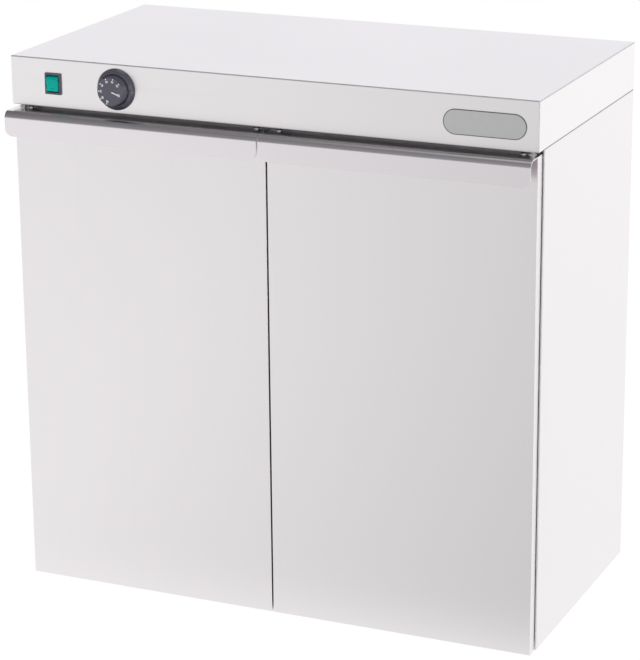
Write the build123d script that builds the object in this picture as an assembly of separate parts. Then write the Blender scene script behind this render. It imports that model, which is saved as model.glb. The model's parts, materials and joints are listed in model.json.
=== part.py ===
from build123d import *
from math import cos, hypot, radians
import os

os.makedirs("parts", exist_ok=True)

# A two-door plate warmer cabinet. Millimetres: X to the right, Y to the back, Z up from the floor.
# Inside this script y = 0 is the cap's front face.
# The export moves the origin to the centre of the footprint.

# ---------------------------------------------------------------- cabinet
cabinet_width = 750.0
cap_depth = 390.0
cap_height = 65.0
body_height = 683.0  # underside of the doors to the underside of the cap
foot_height = 15.0  # floor to the underside of the body
side_wall = 25.0  # outside of the cabinet to the cavity
back_wall = 18.0
heater_space = 65.0  # body underside to the cavity floor
ceiling_drop = 25.2  # cap underside to the cavity ceiling

# ---------------------------------------------------------------- sheet metal
cap_sheet = 1.2
skin_sheet = 1.0
liner_sheet = 0.8
rail_sheet = 1.5
fold_radius = 1.5  # outside of a sharp fold
cap_flange = 8.0  # return flange round the cap's open underside
panel_flange = 16.0  # inward flanges of a side panel
hem_depth = 13.0
hem_gap = 0.6
hem_notch_gap = 1.0  # hem to the panel's flanges
tray_flange = 30.0
joint_gap = 0.3  # cap flange above the side panels
seat_gap = 0.2  # soft slabs and loose fitted sheets
slab_gap = 2.0  # slabs and the back sheet
slab_top_gap = 6.0
flange_setback = 1.2  # top rail behind the cap's front face

# ---------------------------------------------------------------- doors
door_thickness = 16.1
door_setback = 2.3  # door face behind the cap's front face
door_side_inset = 2.2
door_gap = 2.0  # between the two doors
door_top_gap = 6.2  # cap underside to the top of the handle strip
door_panel_gap = 1.6  # door back to the side panel's front edge
door_flange = 12.0
door_bottom_recess = 4.0
pan_raise = 7.0
pan_sheet = 0.8
pan_bend = 2.8  # outside of the raised part's edges
pan_ring_hinge_inset = 14.0
pan_ring_inset = 3.0
pan_hinge_margin = 28.8  # door end to the raised part of the inner pan
pan_centre_margin = 11.0
pan_opening_gap = 4.4  # raised pan inside the cavity's mouth, top and bottom

# ---------------------------------------------------------------- handle strip
handle_sheet = 1.5
handle_reach = 28.3  # in front of the door face
handle_drop = 33.8
handle_bend = 9.5
handle_corner = 11.0
handle_back_gap = 0.5
handle_end_overhang = 0.2

# ---------------------------------------------------------------- pivots and catches
pivot_from_end = 9.8
pivot_behind_face = 7.2
pivot_radius = 3.0
pivot_collar_radius = 4.5
pivot_collar = 1.6
pivot_depth = 15.0
running_gap = 0.05
bush_wall = 1.2
bush_flange_radius = 5.0
bush_flange = 1.0
bush_length = 9.0
sweep_gap = 0.8  # door corner to the jambs while it swings
bracket_sheet = 2.5
bracket_end_radius = 5.5
bracket_reach = 33.0  # from the pivot towards the cabinet's middle
bracket_arm = 19.0
bracket_leg = 30.0
door_lift = 0.1  # bush flange above the bracket
magnet_size = (30.0, 14.0)
magnet_from_centre = 35.0
magnet_below_rail = 4.8
strike_sheet = 0.8
catch_gap = 0.2

# ---------------------------------------------------------------- screws
screw_shank = 2.0
screw_hole_gap = 0.1
screw_head_radius = 3.9
screw_head = 2.4
screw_dome_share = 0.7
recess_width = 0.8
handle_screw_head_radius = 5.3
handle_screw_head = 2.8
handle_screw_inset = 15.0  # door's inner end
handle_screw_from_pivot = 11.5
handle_screw_length = 12.0
back_screw_rows = 5
back_screw_x = 125.0  # the two in the base tray's flange
back_screw_length = 4.0
cap_screw_inset = 1.0  # from the middle of the cap's flange
cap_screw_from_ends = 97.5
bracket_screw_z = (10.5, 22.5)  # above the bracket's arm
cap_screw_length = 6.0
thermostat_screw_length = 8.0
bracket_screw_length = 5.5
low_head = 1.6  # behind the door's lower edge

# ---------------------------------------------------------------- controls
control_below_top = 33.7  # knob and switch centres
knob_from_side = 159.0
knob_face_radius = 18.8
knob_tip_radius = 19.3
knob_base_radius = 21.2
knob_projection = 17.4
knob_wall = 2.0
knob_hub_radius = 6.5
knob_back_gap = 0.5  # knob to the bezel's floor
knob_edge = 0.6
knob_hub_recess = 1.5
bezel_radius = 28.0
bezel_rim = 1.2
bezel_height = 6.6
bezel_inner_radius = 21.7
bezel_lip = 0.6
bezel_floor = 2.0
bezel_hole_radius = 5.4
shaft_radius = 3.0
shaft_flat = 0.7
shaft_end_gap = 0.5
shaft_flat_end = 1.0  # in front of the bushing
bushing_radius = 5.0
thermostat_size = (34.0, 36.0, 40.0)
thermostat_screw_pitch = 28.0
thermostat_edge = 3.0
thermostat_shaft_depth = 21.6
thermostat_screw_depth = 14.4
switch_from_side = 64.4
switch_bezel = (24.0, 29.0)
switch_bezel_height = 2.5
switch_opening = (17.5, 22.5)
switch_wall = 1.4
switch_depth = 24.0
switch_pocket = 14.4
switch_bezel_corner = 1.2
switch_bezel_edge = 0.6
blade_x = 5.0
blade_z = 8.0
blade_size = (0.8, 8.0, 4.8)
rocker_size = (17.0, 20.6)
rocker_pivot_behind = 5.0
rocker_tilt = 7.0  # degrees, lower end pressed
rocker_ridge = 8.2
rocker_dish = 0.9
rocker_slope = 2.4  # from the ridge down to the end
rocker_rise = 0.2
rocker_behind_pivot = 1.5
rocker_pin_radius = 1.2
rocker_pin_length = 1.2
badge_from_side = 72.4
badge_below_top = 35.5
badge_size = (111.5, 33.0)
badge_sheet = 1.0
badge_rim = 1.6
badge_recess = 0.4

# ---------------------------------------------------------------- wiring and cable entry
gland_from_side = 39.0
gland_bore = 4.0
gland_thread_radius = 8.0
gland_hex = 11.0
gland_hex_length = 6.0
gland_dome_length = 12.0
gland_nut_length = 4.0
gland_thread_end = 2.0  # beyond the nut
gland_dome_inset = 1.5
gland_dome_straight = 6.0
gland_mouth_wall = 2.5
lead_radius = 2.2
lead_pitch = 8.0
lead_from_wall = 14.0  # cavity's side to the middle of the pair
lead_channel = 10.5  # behind the cavity's back face
lead_bends = (3.7, 8.8, 8.8)
control_lead_radius = 1.3
control_lead_bend = 8.0
lead_run = (60.0, 30.0, 22.0)  # behind the switch's blades, twice, and behind the thermostat
thermostat_lead_x = 10.0
terminal_size = (44.0, 26.0, 18.0)
terminal_before_leads = 25.7
terminal_entry = 0.4  # share of the block's height
terminal_well_radius = 3.0
terminal_well_y = 5.7
terminal_pitch = 14.7
vent_count = 14
vent_width = 3.0
vent_height = 28.0
vent_pitch = 14.0

# ---------------------------------------------------------------- heating
heater_radius = 4.25
heater_height = 28.0  # above the base tray
heater_rows = 4
heater_turn_share = 0.49  # bend radius over the pitch
heater_front = 80.0
heater_back_inset = 52.0  # last row to the cavity's back
heater_side_inset = 50.0  # cavity's side to the outer turns
heater_tail_inset = 40.0
heater_inner_inset = 100.0
heater_bracket_inset = 60.0  # turns to the brackets
heater_end_plate_inset = 10.0
heater_bracket_sheet = 1.5
heater_hole_gap = 0.1
heater_plate_above = 6.0
heater_plate_foot = 10.0
deck_slot = (32.0, 4.0)
deck_slot_pitch = (30.0, 12.0)
deck_margin = 40.0
sensor_from_knob = 66.0
sensor_radius = 3.5
sensor_length = 80.0
sensor_rounding = 1.4
sensor_y = 110.0
sensor_below_ceiling = 9.0
sensor_clip_width = 8.0
sensor_clip_shares = (0.2, 0.8)  # along the bulb
capillary_radius = 1.0
capillary_bend = 10.0
capillary_gap = 1.0
capillary_before_bulb = 30.0
cutout_radius = 8.0
cutout_height = 9.0
cutout_xy = (60.0, 200.0)
cutout_foot = (9.0, 5.0, 1.0)  # half width, half depth, thickness
cutout_pocket_gap = 3.0

# ---------------------------------------------------------------- shelving
upright_front = 60.0
upright_back_inset = 42.0
upright_width = 16.0
upright_depth = 4.0
upright_sheet = 1.0
upright_end_gap = 6.0
slot_pitch = 25.0
slot_size = (9.0, 4.0)
clip_sheet = 1.5
clip_width = 12.0
clip_plate = 16.0
clip_lip = 5.0
clip_tab = (8.0, 3.0)
clip_tab_depth = 2.0
shelf_slots = (7, 15)  # the upright's slot that holds each shelf
shelf_frame_radius = 3.0
shelf_cross_radius = 2.4
shelf_wire_radius = 1.6
shelf_wire_overhang = 1.0
shelf_wire_pitch = 25.0
shelf_corner = 20.0
shelf_front_gap = 10.0  # behind the raised door pans
shelf_back_gap = 4.0
shelf_wire_gap = 2.0  # frame wire to the clip's plate
shelf_cross_insets = (81.6, 95.0)  # from the front and back frame wires
weld_sink = 0.4

# ---------------------------------------------------------------- feet
foot_inset = 60.0
foot_radius = 16.0
foot_taper = 2.0
foot_recess_radius = 7.0
foot_recess = 7.0
nut_across = 8.0
nut_height = 4.0
foot_screw_end = 2.0  # above the nut

# ---------------------------------------------------------------- levels and places worked out from the above
side_x = cabinet_width / 2
body_bottom = foot_height
body_top = body_bottom + body_height
cap_top = body_top + cap_height
tray_bottom = body_bottom + skin_sheet
tray_top = tray_bottom + skin_sheet
cavity_x = side_x - side_wall
cavity_floor = body_bottom + heater_space
cavity_ceiling = body_top - ceiling_drop
cavity_back = cap_depth - back_wall
panel_inner_x = side_x - skin_sheet
panel_back = cap_depth - skin_sheet
panel_top = body_top - joint_gap

door_end = side_x - door_side_inset
door_start = door_gap / 2
door_back = door_setback + door_thickness
handle_top = body_top - door_top_gap
door_top = handle_top - handle_sheet
door_floor = body_bottom + door_bottom_recess
pivot_x = door_end - pivot_from_end
pivot_y = door_setback + pivot_behind_face
corner_sweep = hypot(pivot_from_end, door_back - pivot_y)
jamb_face = pivot_y + corner_sweep + sweep_gap
jamb_back = jamb_face + skin_sheet
hem_front = door_back + door_panel_gap
hem_thickness = 2 * skin_sheet + hem_gap
hem_inner_x = side_x - hem_thickness
hem_back = hem_front + hem_depth
flange_start = hem_back + hem_notch_gap
rail_end = panel_inner_x - seat_gap
jamb_end = hem_inner_x - seat_gap
rail_bottom = body_top - rail_sheet
handle_front = door_setback - handle_reach
handle_back = door_back - handle_back_gap
pan_face = door_back + pan_sheet
pan_back = pan_face + pan_raise - pan_sheet
bracket_top = door_floor - bush_flange - door_lift
control_z = cap_top - control_below_top
badge_z = cap_top - badge_below_top
heater_z = tray_top + heater_height
knob_x = knob_from_side - side_x
switch_x = switch_from_side - side_x
badge_x = side_x - badge_from_side
gland_x = gland_from_side - side_x
lead_x = lead_from_wall - cavity_x
sensor_x = knob_x + sensor_from_knob
blade_places = [(x, z) for x in (-blade_x, blade_x) for z in (-blade_z, 0, blade_z)]
heater_pitch = (cavity_back - heater_back_inset - heater_front) / (heater_rows - 1)
heater_turn = heater_pitch * heater_turn_share
heater_reach = cavity_x - heater_side_inset
heater_tail = cavity_x - heater_tail_inset
heater_inner_turn = cavity_x - heater_inner_inset
bracket_right = heater_reach - heater_bracket_inset
bracket_left = heater_bracket_inset - heater_inner_turn
heater_bracket_x = (bracket_left, (bracket_left + bracket_right) / 2, bracket_right)
heater_end_plate_x = heater_end_plate_inset - heater_tail
upright_y = (upright_front, cavity_back - upright_back_inset)
upright_bottom = cavity_floor + upright_end_gap
upright_top = cavity_ceiling - upright_end_gap
upright_face_x = cavity_x - upright_depth
lead_y = cavity_back + lead_channel - liner_sheet
terminal_y = lead_y - terminal_before_leads - terminal_size[1]
slab_top = panel_top - skin_sheet - slab_top_gap
capillary_y = sensor_y - capillary_before_bulb
control_floor_top = body_top + cap_sheet + skin_sheet
terminal_z = control_floor_top + terminal_size[2] * terminal_entry
gland_end = cap_depth + gland_hex_length + gland_dome_length
origin_y = (handle_front + gland_end) / 2


# ---------------------------------------------------------------- helpers
def block(x0, x1, y0, y1, z0, z1):
    return Pos((x0 + x1) / 2, (y0 + y1) / 2, (z0 + z1) / 2) * Box(x1 - x0, y1 - y0, z1 - z0)


def upright_rod(x, y, z0, z1, radius):
    return Pos(x, y, (z0 + z1) / 2) * Cylinder(radius, z1 - z0)


def depth_rod(x, z, y0, y1, radius):
    return Pos(x, (y0 + y1) / 2, z) * Rot(90, 0, 0) * Cylinder(radius, y1 - y0)


def width_rod(x0, x1, y, z, radius):
    return Pos((x0 + x1) / 2, y, z) * Rot(0, 90, 0) * Cylinder(radius, x1 - x0)


def bent_rod(points, bend, radius):
    path = FilletPolyline(*points, radius=bend)
    return sweep(Plane(origin=path @ 0, z_dir=path % 0) * Circle(radius), path=path)


def depth_turned(profile, x, z):
    # A profile of (radius, y) points, turned about an axis along Y.
    face = make_face(Polyline(*[(r, y) for r, y in profile], close=True))
    return Pos(x, 0, z) * revolve(face, Axis.Y)


def pan_screw(shank, length, head_radius, head):
    # Head on z = 0, shank downwards, cross recess in a domed head.
    dome = Pos(0, 0, head / 2) * Cylinder(head_radius, head)
    dome = fillet(dome.edges().sort_by(Axis.Z)[-1], head * screw_dome_share)
    recess = Pos(0, 0, head) * (Box(head_radius, recess_width, head) + Box(recess_width, head_radius, head))
    return (dome + Pos(0, 0, -length / 2) * Cylinder(shank, length)) - recess


def body_screw(length):
    return pan_screw(screw_shank, length, screw_head_radius, screw_head)


def screw_hole_up(x, y, z0, z1):
    return upright_rod(x, y, z0, z1, screw_shank + screw_hole_gap)


def screw_hole_back(x, z, y0, y1):
    return depth_rod(x, z, y0, y1, screw_shank + screw_hole_gap)


def left_of(shape):
    return mirror(shape, about=Plane.YZ)


def pair(shape):
    return [shape, left_of(shape)]


def group(pieces):
    return Compound([solid for piece in pieces for solid in piece.solids()])


# ---------------------------------------------------------------- places shared by several pieces
def back_screw_places():
    flange_x = panel_inner_x - panel_flange / 2
    low = body_bottom + panel_flange / 2
    high = panel_top - panel_flange / 2
    step = (high - low) / (back_screw_rows - 1)
    sides = [(s * flange_x, low + i * step) for s in (-1, 1) for i in range(back_screw_rows)]
    feet = [(s * back_screw_x, tray_bottom + tray_flange / 2) for s in (-1, 1)]
    return sides + feet


def cap_screw_places():
    x = side_x - cap_sheet - cap_flange / 2 - cap_screw_inset
    rows = (cap_screw_from_ends, cap_depth - cap_screw_from_ends)
    return [(s * x, y) for s in (-1, 1) for y in rows]


def bracket_screw_places():
    x = pivot_x - bracket_reach + bracket_arm / 2
    return [(s * x, bracket_top + z) for s in (-1, 1) for z in bracket_screw_z]


def thermostat_screw_places():
    half = thermostat_screw_pitch / 2
    return [(knob_x - half, control_z), (knob_x + half, control_z)]


def foot_places():
    x = side_x - foot_inset
    return [(s * x, y) for s in (-1, 1) for y in (foot_inset, cap_depth - foot_inset)]


def lead_places():
    return [lead_x - lead_pitch / 2, lead_x + lead_pitch / 2]


def slot_level(index):
    return upright_bottom + slot_pitch * index


# ---------------------------------------------------------------- shell
def top_cap():
    outer = block(-side_x, side_x, 0, cap_depth, body_top, cap_top)
    rim = outer.faces().sort_by(Axis.Z)[-1].edges()
    outer = fillet(outer.edges().filter_by(Axis.Z) + rim, fold_radius)
    x = side_x - cap_sheet
    back = cap_depth - cap_sheet
    inside = block(-x, x, cap_sheet, back, body_top + cap_sheet, cap_top - cap_sheet)
    mouth_x = x - cap_flange
    mouth = block(-mouth_x, mouth_x, cap_sheet + cap_flange, back - cap_flange,
                  body_top, body_top + cap_sheet)
    w, h = switch_opening
    switch_hole = block(switch_x - w / 2 - switch_wall, switch_x + w / 2 + switch_wall, 0, cap_sheet,
                        control_z - h / 2 - switch_wall, control_z + h / 2 + switch_wall)
    holes = [depth_rod(knob_x, control_z, 0, cap_sheet, bushing_radius + screw_hole_gap)]
    holes += [screw_hole_back(px, pz, 0, cap_sheet) for px, pz in thermostat_screw_places()]
    holes += [depth_rod(gland_x, control_z, back, cap_depth, gland_thread_radius)]
    holes += [screw_hole_up(px, py, body_top, body_top + cap_sheet) for px, py in cap_screw_places()]
    holes += [upright_rod(px, lead_y, body_top, body_top + cap_sheet, lead_radius + seat_gap)
              for px in lead_places()]
    vent = Rot(90, 0, 0) * extrude(SlotOverall(vent_height, vent_width, rotation=90), cap_sheet, both=True)
    first = -vent_pitch * (vent_count - 1) / 2
    vents = [Pos(first + i * vent_pitch, cap_depth, control_z) * vent for i in range(vent_count)]
    return outer - [inside, mouth, switch_hole] - holes - vents


def control_floor():
    # Closes the cap from below and carries the electrical parts.
    x = side_x - cap_sheet - seat_gap
    front = cap_sheet + seat_gap
    low = body_top + cap_sheet
    plate = block(-x, x, front, cap_depth - cap_sheet - seat_gap, low, control_floor_top)
    gaps = [upright_rod(px, lead_y, low, control_floor_top, lead_radius + seat_gap)
            for px in lead_places()]
    gaps += [capillary_hole(low, control_floor_top)]
    gaps += [screw_hole_up(px, py, low, control_floor_top) for px, py in cap_screw_places()]
    return plate - gaps


def right_side_panel():
    inner = side_x - panel_flange
    outer = block(inner, side_x, hem_front + hem_thickness / 2, panel_back, body_bottom, panel_top)
    long_edges = outer.edges().filter_by(Axis.Y).group_by(Axis.X)[-1]
    rear_edge = outer.edges().filter_by(Axis.Z).group_by(Axis.X)[-1].sort_by(Axis.Y)[-1]
    outer = fillet(long_edges + [rear_edge], fold_radius)
    hollow = block(inner, panel_inner_x, hem_front, panel_back - skin_sheet,
                   body_bottom + skin_sheet, panel_top - skin_sheet)
    front_cut = block(inner, panel_inner_x, hem_front, flange_start, body_bottom, panel_top)
    sheet = outer - [hollow, front_cut]
    hem_low = body_bottom + skin_sheet + seat_gap
    hem_high = rail_bottom - seat_gap
    centre_x = side_x - hem_thickness / 2
    centre_y = hem_front + hem_thickness / 2
    roll = Pos(centre_x, centre_y) * (Circle(hem_thickness / 2) - Circle(hem_gap / 2))
    roll = roll & Pos(centre_x, centre_y - hem_thickness / 2) * Rectangle(hem_thickness, hem_thickness)
    leaf_middle = (centre_y + hem_back) / 2
    leaf = Pos(hem_inner_x + skin_sheet / 2, leaf_middle) * Rectangle(skin_sheet, hem_back - centre_y)
    hem = Pos(0, 0, hem_low) * extrude(roll + leaf, hem_high - hem_low)
    holes = [screw_hole_back(px, pz, panel_back - skin_sheet, panel_back)
             for px, pz in back_screw_places() if px > inner]
    holes += [screw_hole_up(px, py, panel_top - skin_sheet, panel_top)
              for px, py in cap_screw_places() if px > 0]
    return sheet + hem - holes


def back_panel():
    x = side_x - fold_radius
    sheet = block(-x, x, panel_back, cap_depth, body_bottom, panel_top)
    sheet = fillet(sheet.edges().filter_by(Axis.Y), fold_radius)
    return sheet - [screw_hole_back(px, pz, panel_back, cap_depth) for px, pz in back_screw_places()]


def base_tray():
    x = hem_inner_x - seat_gap
    back = panel_back - skin_sheet - seat_gap
    tray = block(-x, x, jamb_back, back, tray_bottom, tray_bottom + tray_flange)
    hollow = block(-x + skin_sheet, x - skin_sheet, jamb_back, back - skin_sheet,
                   tray_top, tray_bottom + tray_flange)
    holes = [screw_hole_up(px, py, tray_bottom, tray_top) for px, py in foot_places()]
    holes += [screw_hole_back(px, pz, back - skin_sheet, back)
              for px, pz in back_screw_places() if pz < tray_bottom + tray_flange]
    return tray - hollow - holes


def top_rail():
    # Front header; its forward flange lies under the cap and carries the upper pivots.
    web = block(-jamb_end, jamb_end, jamb_face, jamb_back, cavity_ceiling, rail_bottom)
    flange = block(-rail_end, rail_end, flange_setback, jamb_back, rail_bottom, body_top)
    pivots = [upright_rod(s * pivot_x, pivot_y, rail_bottom, body_top, pivot_radius) for s in (-1, 1)]
    return web + flange - pivots


def bottom_rail():
    # Front sill in front of the heater space; its foot turns in under the base tray.
    web = block(-jamb_end, jamb_end, jamb_face, jamb_back, body_bottom, cavity_floor)
    foot_x = side_x - panel_flange - seat_gap
    foot = block(-foot_x, foot_x, jamb_back, flange_start, body_bottom, tray_bottom)
    holes = [screw_hole_back(px, pz, jamb_face, jamb_back) for px, pz in bracket_screw_places()]
    return web + foot - holes


# ---------------------------------------------------------------- liner and insulation
def right_liner():
    sheet = block(cavity_x, cavity_x + liner_sheet, jamb_back, cavity_back + liner_sheet,
                  tray_top, cavity_ceiling)
    jamb = block(cavity_x, jamb_end, jamb_face, jamb_back, cavity_floor, cavity_ceiling)
    return sheet + jamb


def back_liner():
    x = cavity_x - seat_gap
    sheet = block(-x, x, cavity_back, cavity_back + liner_sheet, tray_top, cavity_ceiling)
    leads = [depth_rod(px, heater_z, cavity_back, cavity_back + liner_sheet, lead_radius + seat_gap)
             for px in lead_places()]
    return sheet - leads


def capillary_hole(z0, z1):
    return upright_rod(sensor_x, capillary_y, z0, z1, capillary_radius + capillary_gap)


def sensor_clip(y):
    # A pressed loop that hangs from the ceiling round the sensor bulb.
    z = cavity_ceiling - sensor_below_ceiling
    y0 = y - sensor_clip_width / 2
    y1 = y + sensor_clip_width / 2
    outer = sensor_radius + seat_gap + liner_sheet
    ring = depth_rod(sensor_x, z, y0, y1, outer)
    strap = block(sensor_x - liner_sheet, sensor_x + liner_sheet, y0, y1, z + sensor_radius, cavity_ceiling)
    return ring + strap - depth_rod(sensor_x, z, y0, y1, sensor_radius + seat_gap)


def top_liner():
    x = cavity_x + liner_sheet
    top = cavity_ceiling + liner_sheet
    sheet = block(-x, x, jamb_back, cavity_back + liner_sheet, cavity_ceiling, top)
    clips = [sensor_clip(sensor_y + sensor_length * share) for share in sensor_clip_shares]
    return sheet + clips - capillary_hole(cavity_ceiling, top)


def right_insulation():
    x0 = cavity_x + liner_sheet + seat_gap
    x1 = hem_inner_x - seat_gap - skin_sheet - seat_gap
    y1 = panel_back - skin_sheet - slab_gap
    return block(x0, x1, jamb_back + seat_gap, y1, tray_top, slab_top)


def back_insulation():
    x = cavity_x
    y0 = cavity_back + liner_sheet + seat_gap
    y1 = panel_back - skin_sheet - slab_gap
    slab = block(-x, x, y0, y1, tray_top, slab_top)
    room = lead_radius + seat_gap
    channels = [block(px - room, px + room, y0, lead_y + room, heater_z - room, slab_top)
                for px in lead_places()]
    return slab - channels


def top_insulation():
    low = cavity_ceiling + liner_sheet
    x = cavity_x
    slab = block(-x, x, jamb_back + seat_gap, cavity_back, low, slab_top)
    px, py = cutout_xy
    pocket = upright_rod(px, py, low, low + cutout_height + slab_gap, cutout_radius + cutout_pocket_gap)
    return slab - pocket - capillary_hole(low, slab_top)


# ---------------------------------------------------------------- heating
def heater_deck():
    # Perforated cavity floor: an upturned tray that stands on the base tray over the heater.
    x = cavity_x - seat_gap
    front = jamb_back + seat_gap
    back = cavity_back - seat_gap
    deck = block(-x, x, front, back, tray_top, cavity_floor)
    deck -= block(-x + liner_sheet, x - liner_sheet, front + liner_sheet, back - liner_sheet,
                  tray_top, cavity_floor - liner_sheet)
    pitch_y = deck_slot[0] + deck_slot_pitch[1]
    columns = int((2 * x - 2 * deck_margin) / deck_slot_pitch[0]) + 1
    rows = int((back - front - 2 * deck_margin + deck_slot_pitch[1]) / pitch_y)
    slot = Rot(0, 0, 90) * extrude(SlotOverall(*deck_slot), liner_sheet, both=True)
    middle = (front + back) / 2
    places = [((c - (columns - 1) / 2) * deck_slot_pitch[0], middle + (r - (rows - 1) / 2) * pitch_y)
              for c in range(columns) for r in range(rows)]
    deck -= [Pos(px, py, cavity_floor) * slot for px, py in places]
    holes = [depth_rod(px, heater_z, back - liner_sheet, back, lead_radius + seat_gap)
             for px in lead_places()]
    holes += [screw_hole_back(px, pz, front, front + liner_sheet) for px, pz in bracket_screw_places()]
    return deck - holes


def heater_rows_y():
    return [heater_front + heater_pitch * i for i in range(heater_rows)]


def heater_element():
    rows = heater_rows_y()
    points = [(-heater_tail, rows[0], heater_z)]
    for i in range(heater_rows - 1):
        x = heater_reach if i % 2 == 0 else -heater_inner_turn
        points += [(x, rows[i], heater_z), (x, rows[i + 1], heater_z)]
    points += [(-heater_tail, rows[-1], heater_z)]
    return bent_rod(points, heater_turn, heater_radius)


def heater_plate(x, rows):
    y0 = heater_front - heater_pitch / 4
    y1 = heater_rows_y()[-1] + heater_pitch / 4
    half = heater_bracket_sheet / 2
    plate = block(x - half, x + half, y0, y1, tray_top, heater_z + heater_radius + heater_plate_above)
    plate += block(x + half, x + half + heater_plate_foot, y0, y1, tray_top, tray_top + heater_bracket_sheet)
    holes = [width_rod(x - half, x + half, y, heater_z, heater_radius + heater_hole_gap) for y in rows]
    return plate - holes


def heater_brackets():
    rows = heater_rows_y()
    plates = [heater_plate(x, rows) for x in heater_bracket_x]
    return group(plates + [heater_plate(heater_end_plate_x, [rows[0], rows[-1]])])


def heater_leads():
    # Two leads from the heater's tails, up behind the cavity, to the terminal block.
    rows = heater_rows_y()
    leads = []
    for px, row in zip(lead_places(), (rows[0], rows[-1])):
        points = [(-heater_tail, row, heater_z), (px, row, heater_z), (px, lead_y, heater_z),
                  (px, lead_y, terminal_z), (px, terminal_y + terminal_size[1], terminal_z)]
        leads.append(bent_rod(points, lead_bends, lead_radius))
    return group(leads)


def capillary_sensor():
    # Capillary tube from the thermostat to a bulb under the ceiling.
    z = cavity_ceiling - sensor_below_ceiling
    back = cap_sheet + thermostat_size[1]
    points = [(knob_x, back, control_z), (knob_x, capillary_y, control_z), (sensor_x, capillary_y, control_z),
              (sensor_x, capillary_y, z), (sensor_x, sensor_y, z)]
    tube = bent_rod(points, capillary_bend, capillary_radius)
    bulb = depth_rod(sensor_x, z, sensor_y - weld_sink, sensor_y + sensor_length, sensor_radius)
    return tube + fillet(bulb.edges(), sensor_rounding)


def high_limit_thermostat():
    px, py = cutout_xy
    low = cavity_ceiling + liner_sheet
    half_x, half_y, sheet = cutout_foot
    foot = block(px - half_x, px + half_x, py - half_y, py + half_y, low, low + sheet)
    return upright_rod(px, py, low, low + cutout_height, cutout_radius) + foot


# ---------------------------------------------------------------- controls
def thermostat_body():
    w, d, h = thermostat_size
    case = block(knob_x - w / 2, knob_x + w / 2, cap_sheet, cap_sheet + d,
                 control_z - h / 2, control_z + h / 2)
    case = fillet(case.edges().filter_by(Axis.Y), thermostat_edge)
    case += depth_rod(knob_x, control_z, -bezel_floor, cap_sheet, bushing_radius)
    shaft_end = cap_sheet + thermostat_shaft_depth
    case -= depth_rod(knob_x, control_z, -bezel_floor, shaft_end, shaft_radius + running_gap)
    holes = [screw_hole_back(px, pz, cap_sheet, cap_sheet + thermostat_screw_depth)
             for px, pz in thermostat_screw_places()]
    return case - holes


def knob_bezel():
    # Fixed ring with a sloping rim, clamped behind two screws under the knob.
    profile = [(bezel_hole_radius, 0), (bezel_radius, 0), (bezel_radius, -bezel_rim),
               (bezel_inner_radius + bezel_lip, -bezel_height), (bezel_inner_radius, -bezel_height),
               (bezel_inner_radius, -bezel_floor), (bezel_hole_radius, -bezel_floor)]
    ring = depth_turned(profile, knob_x, control_z)
    return ring - [screw_hole_back(px, pz, -bezel_floor, 0) for px, pz in thermostat_screw_places()]


def control_knob():
    back = -bezel_floor - knob_back_gap
    face = -knob_projection
    roof = face + knob_wall
    shell = knob_base_radius - knob_wall
    profile = [(0, roof), (0, face), (knob_face_radius, face), (knob_tip_radius, face + knob_edge),
               (knob_base_radius, back), (shell, back), (knob_tip_radius - knob_wall, roof)]
    cup = depth_turned(profile, knob_x, control_z)
    hub_end = back - knob_hub_recess
    hub = depth_rod(knob_x, control_z, roof, hub_end, knob_hub_radius)
    bore_radius = shaft_radius + running_gap
    bore = depth_rod(knob_x, control_z, roof, hub_end, bore_radius)
    flat = block(knob_x - bore_radius, knob_x + bore_radius, roof, hub_end,
                 control_z + bore_radius - shaft_flat, control_z + bore_radius)
    return cup + (hub - (bore - flat))


def thermostat_shaft():
    tip = -knob_projection + knob_wall + seat_gap
    end = cap_sheet + thermostat_shaft_depth - shaft_end_gap
    shaft = depth_rod(knob_x, control_z, tip, end, shaft_radius)
    flat = block(knob_x - shaft_radius, knob_x + shaft_radius, tip, -bezel_floor - shaft_flat_end,
                 control_z + shaft_radius - shaft_flat, control_z + shaft_radius)
    return shaft - flat


def switch_housing():
    w, h = switch_bezel
    frame = block(switch_x - w / 2, switch_x + w / 2, -switch_bezel_height, 0,
                  control_z - h / 2, control_z + h / 2)
    frame = fillet(frame.edges().filter_by(Axis.Y), switch_bezel_corner)
    frame = chamfer(frame.faces().sort_by(Axis.Y)[0].edges(), switch_bezel_edge)
    ow, oh = switch_opening
    case_x = ow / 2 + switch_wall - seat_gap
    case_z = oh / 2 + switch_wall - seat_gap
    case = block(switch_x - case_x, switch_x + case_x, 0, switch_depth,
                 control_z - case_z, control_z + case_z)
    pocket = block(switch_x - ow / 2, switch_x + ow / 2, -switch_bezel_height, switch_pocket,
                   control_z - oh / 2, control_z + oh / 2)
    pivot = width_rod(switch_x - case_x, switch_x + case_x, rocker_pivot_behind, control_z,
                      rocker_pin_radius + running_gap)
    return frame + case - pocket - pivot


def switch_rocker():
    # Modelled level, then tipped with its lower end pressed in. Two stub pins carry it.
    w, h = rocker_size
    face = -switch_bezel_height - rocker_pivot_behind
    ridge = face - rocker_rise
    end = face + rocker_slope
    back = rocker_behind_pivot
    outline = [(face + rocker_dish, 0), (ridge, rocker_ridge), (end, h / 2), (back, h / 2),
               (back, -h / 2), (end, -h / 2), (ridge, -rocker_ridge)]
    side = Plane.YZ * make_face(Polyline(*outline, close=True))
    cap = extrude(side, w / 2, both=True)
    cap += width_rod(-w / 2 - rocker_pin_length, w / 2 + rocker_pin_length, 0, 0, rocker_pin_radius)
    return Pos(switch_x, rocker_pivot_behind, control_z) * Rot(rocker_tilt, 0, 0) * cap


def switch_terminals():
    blade = Pos(0, blade_size[1] / 2, 0) * Box(*blade_size)
    return group([Pos(switch_x + x, switch_depth, control_z + z) * blade for x, z in blade_places])


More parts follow.
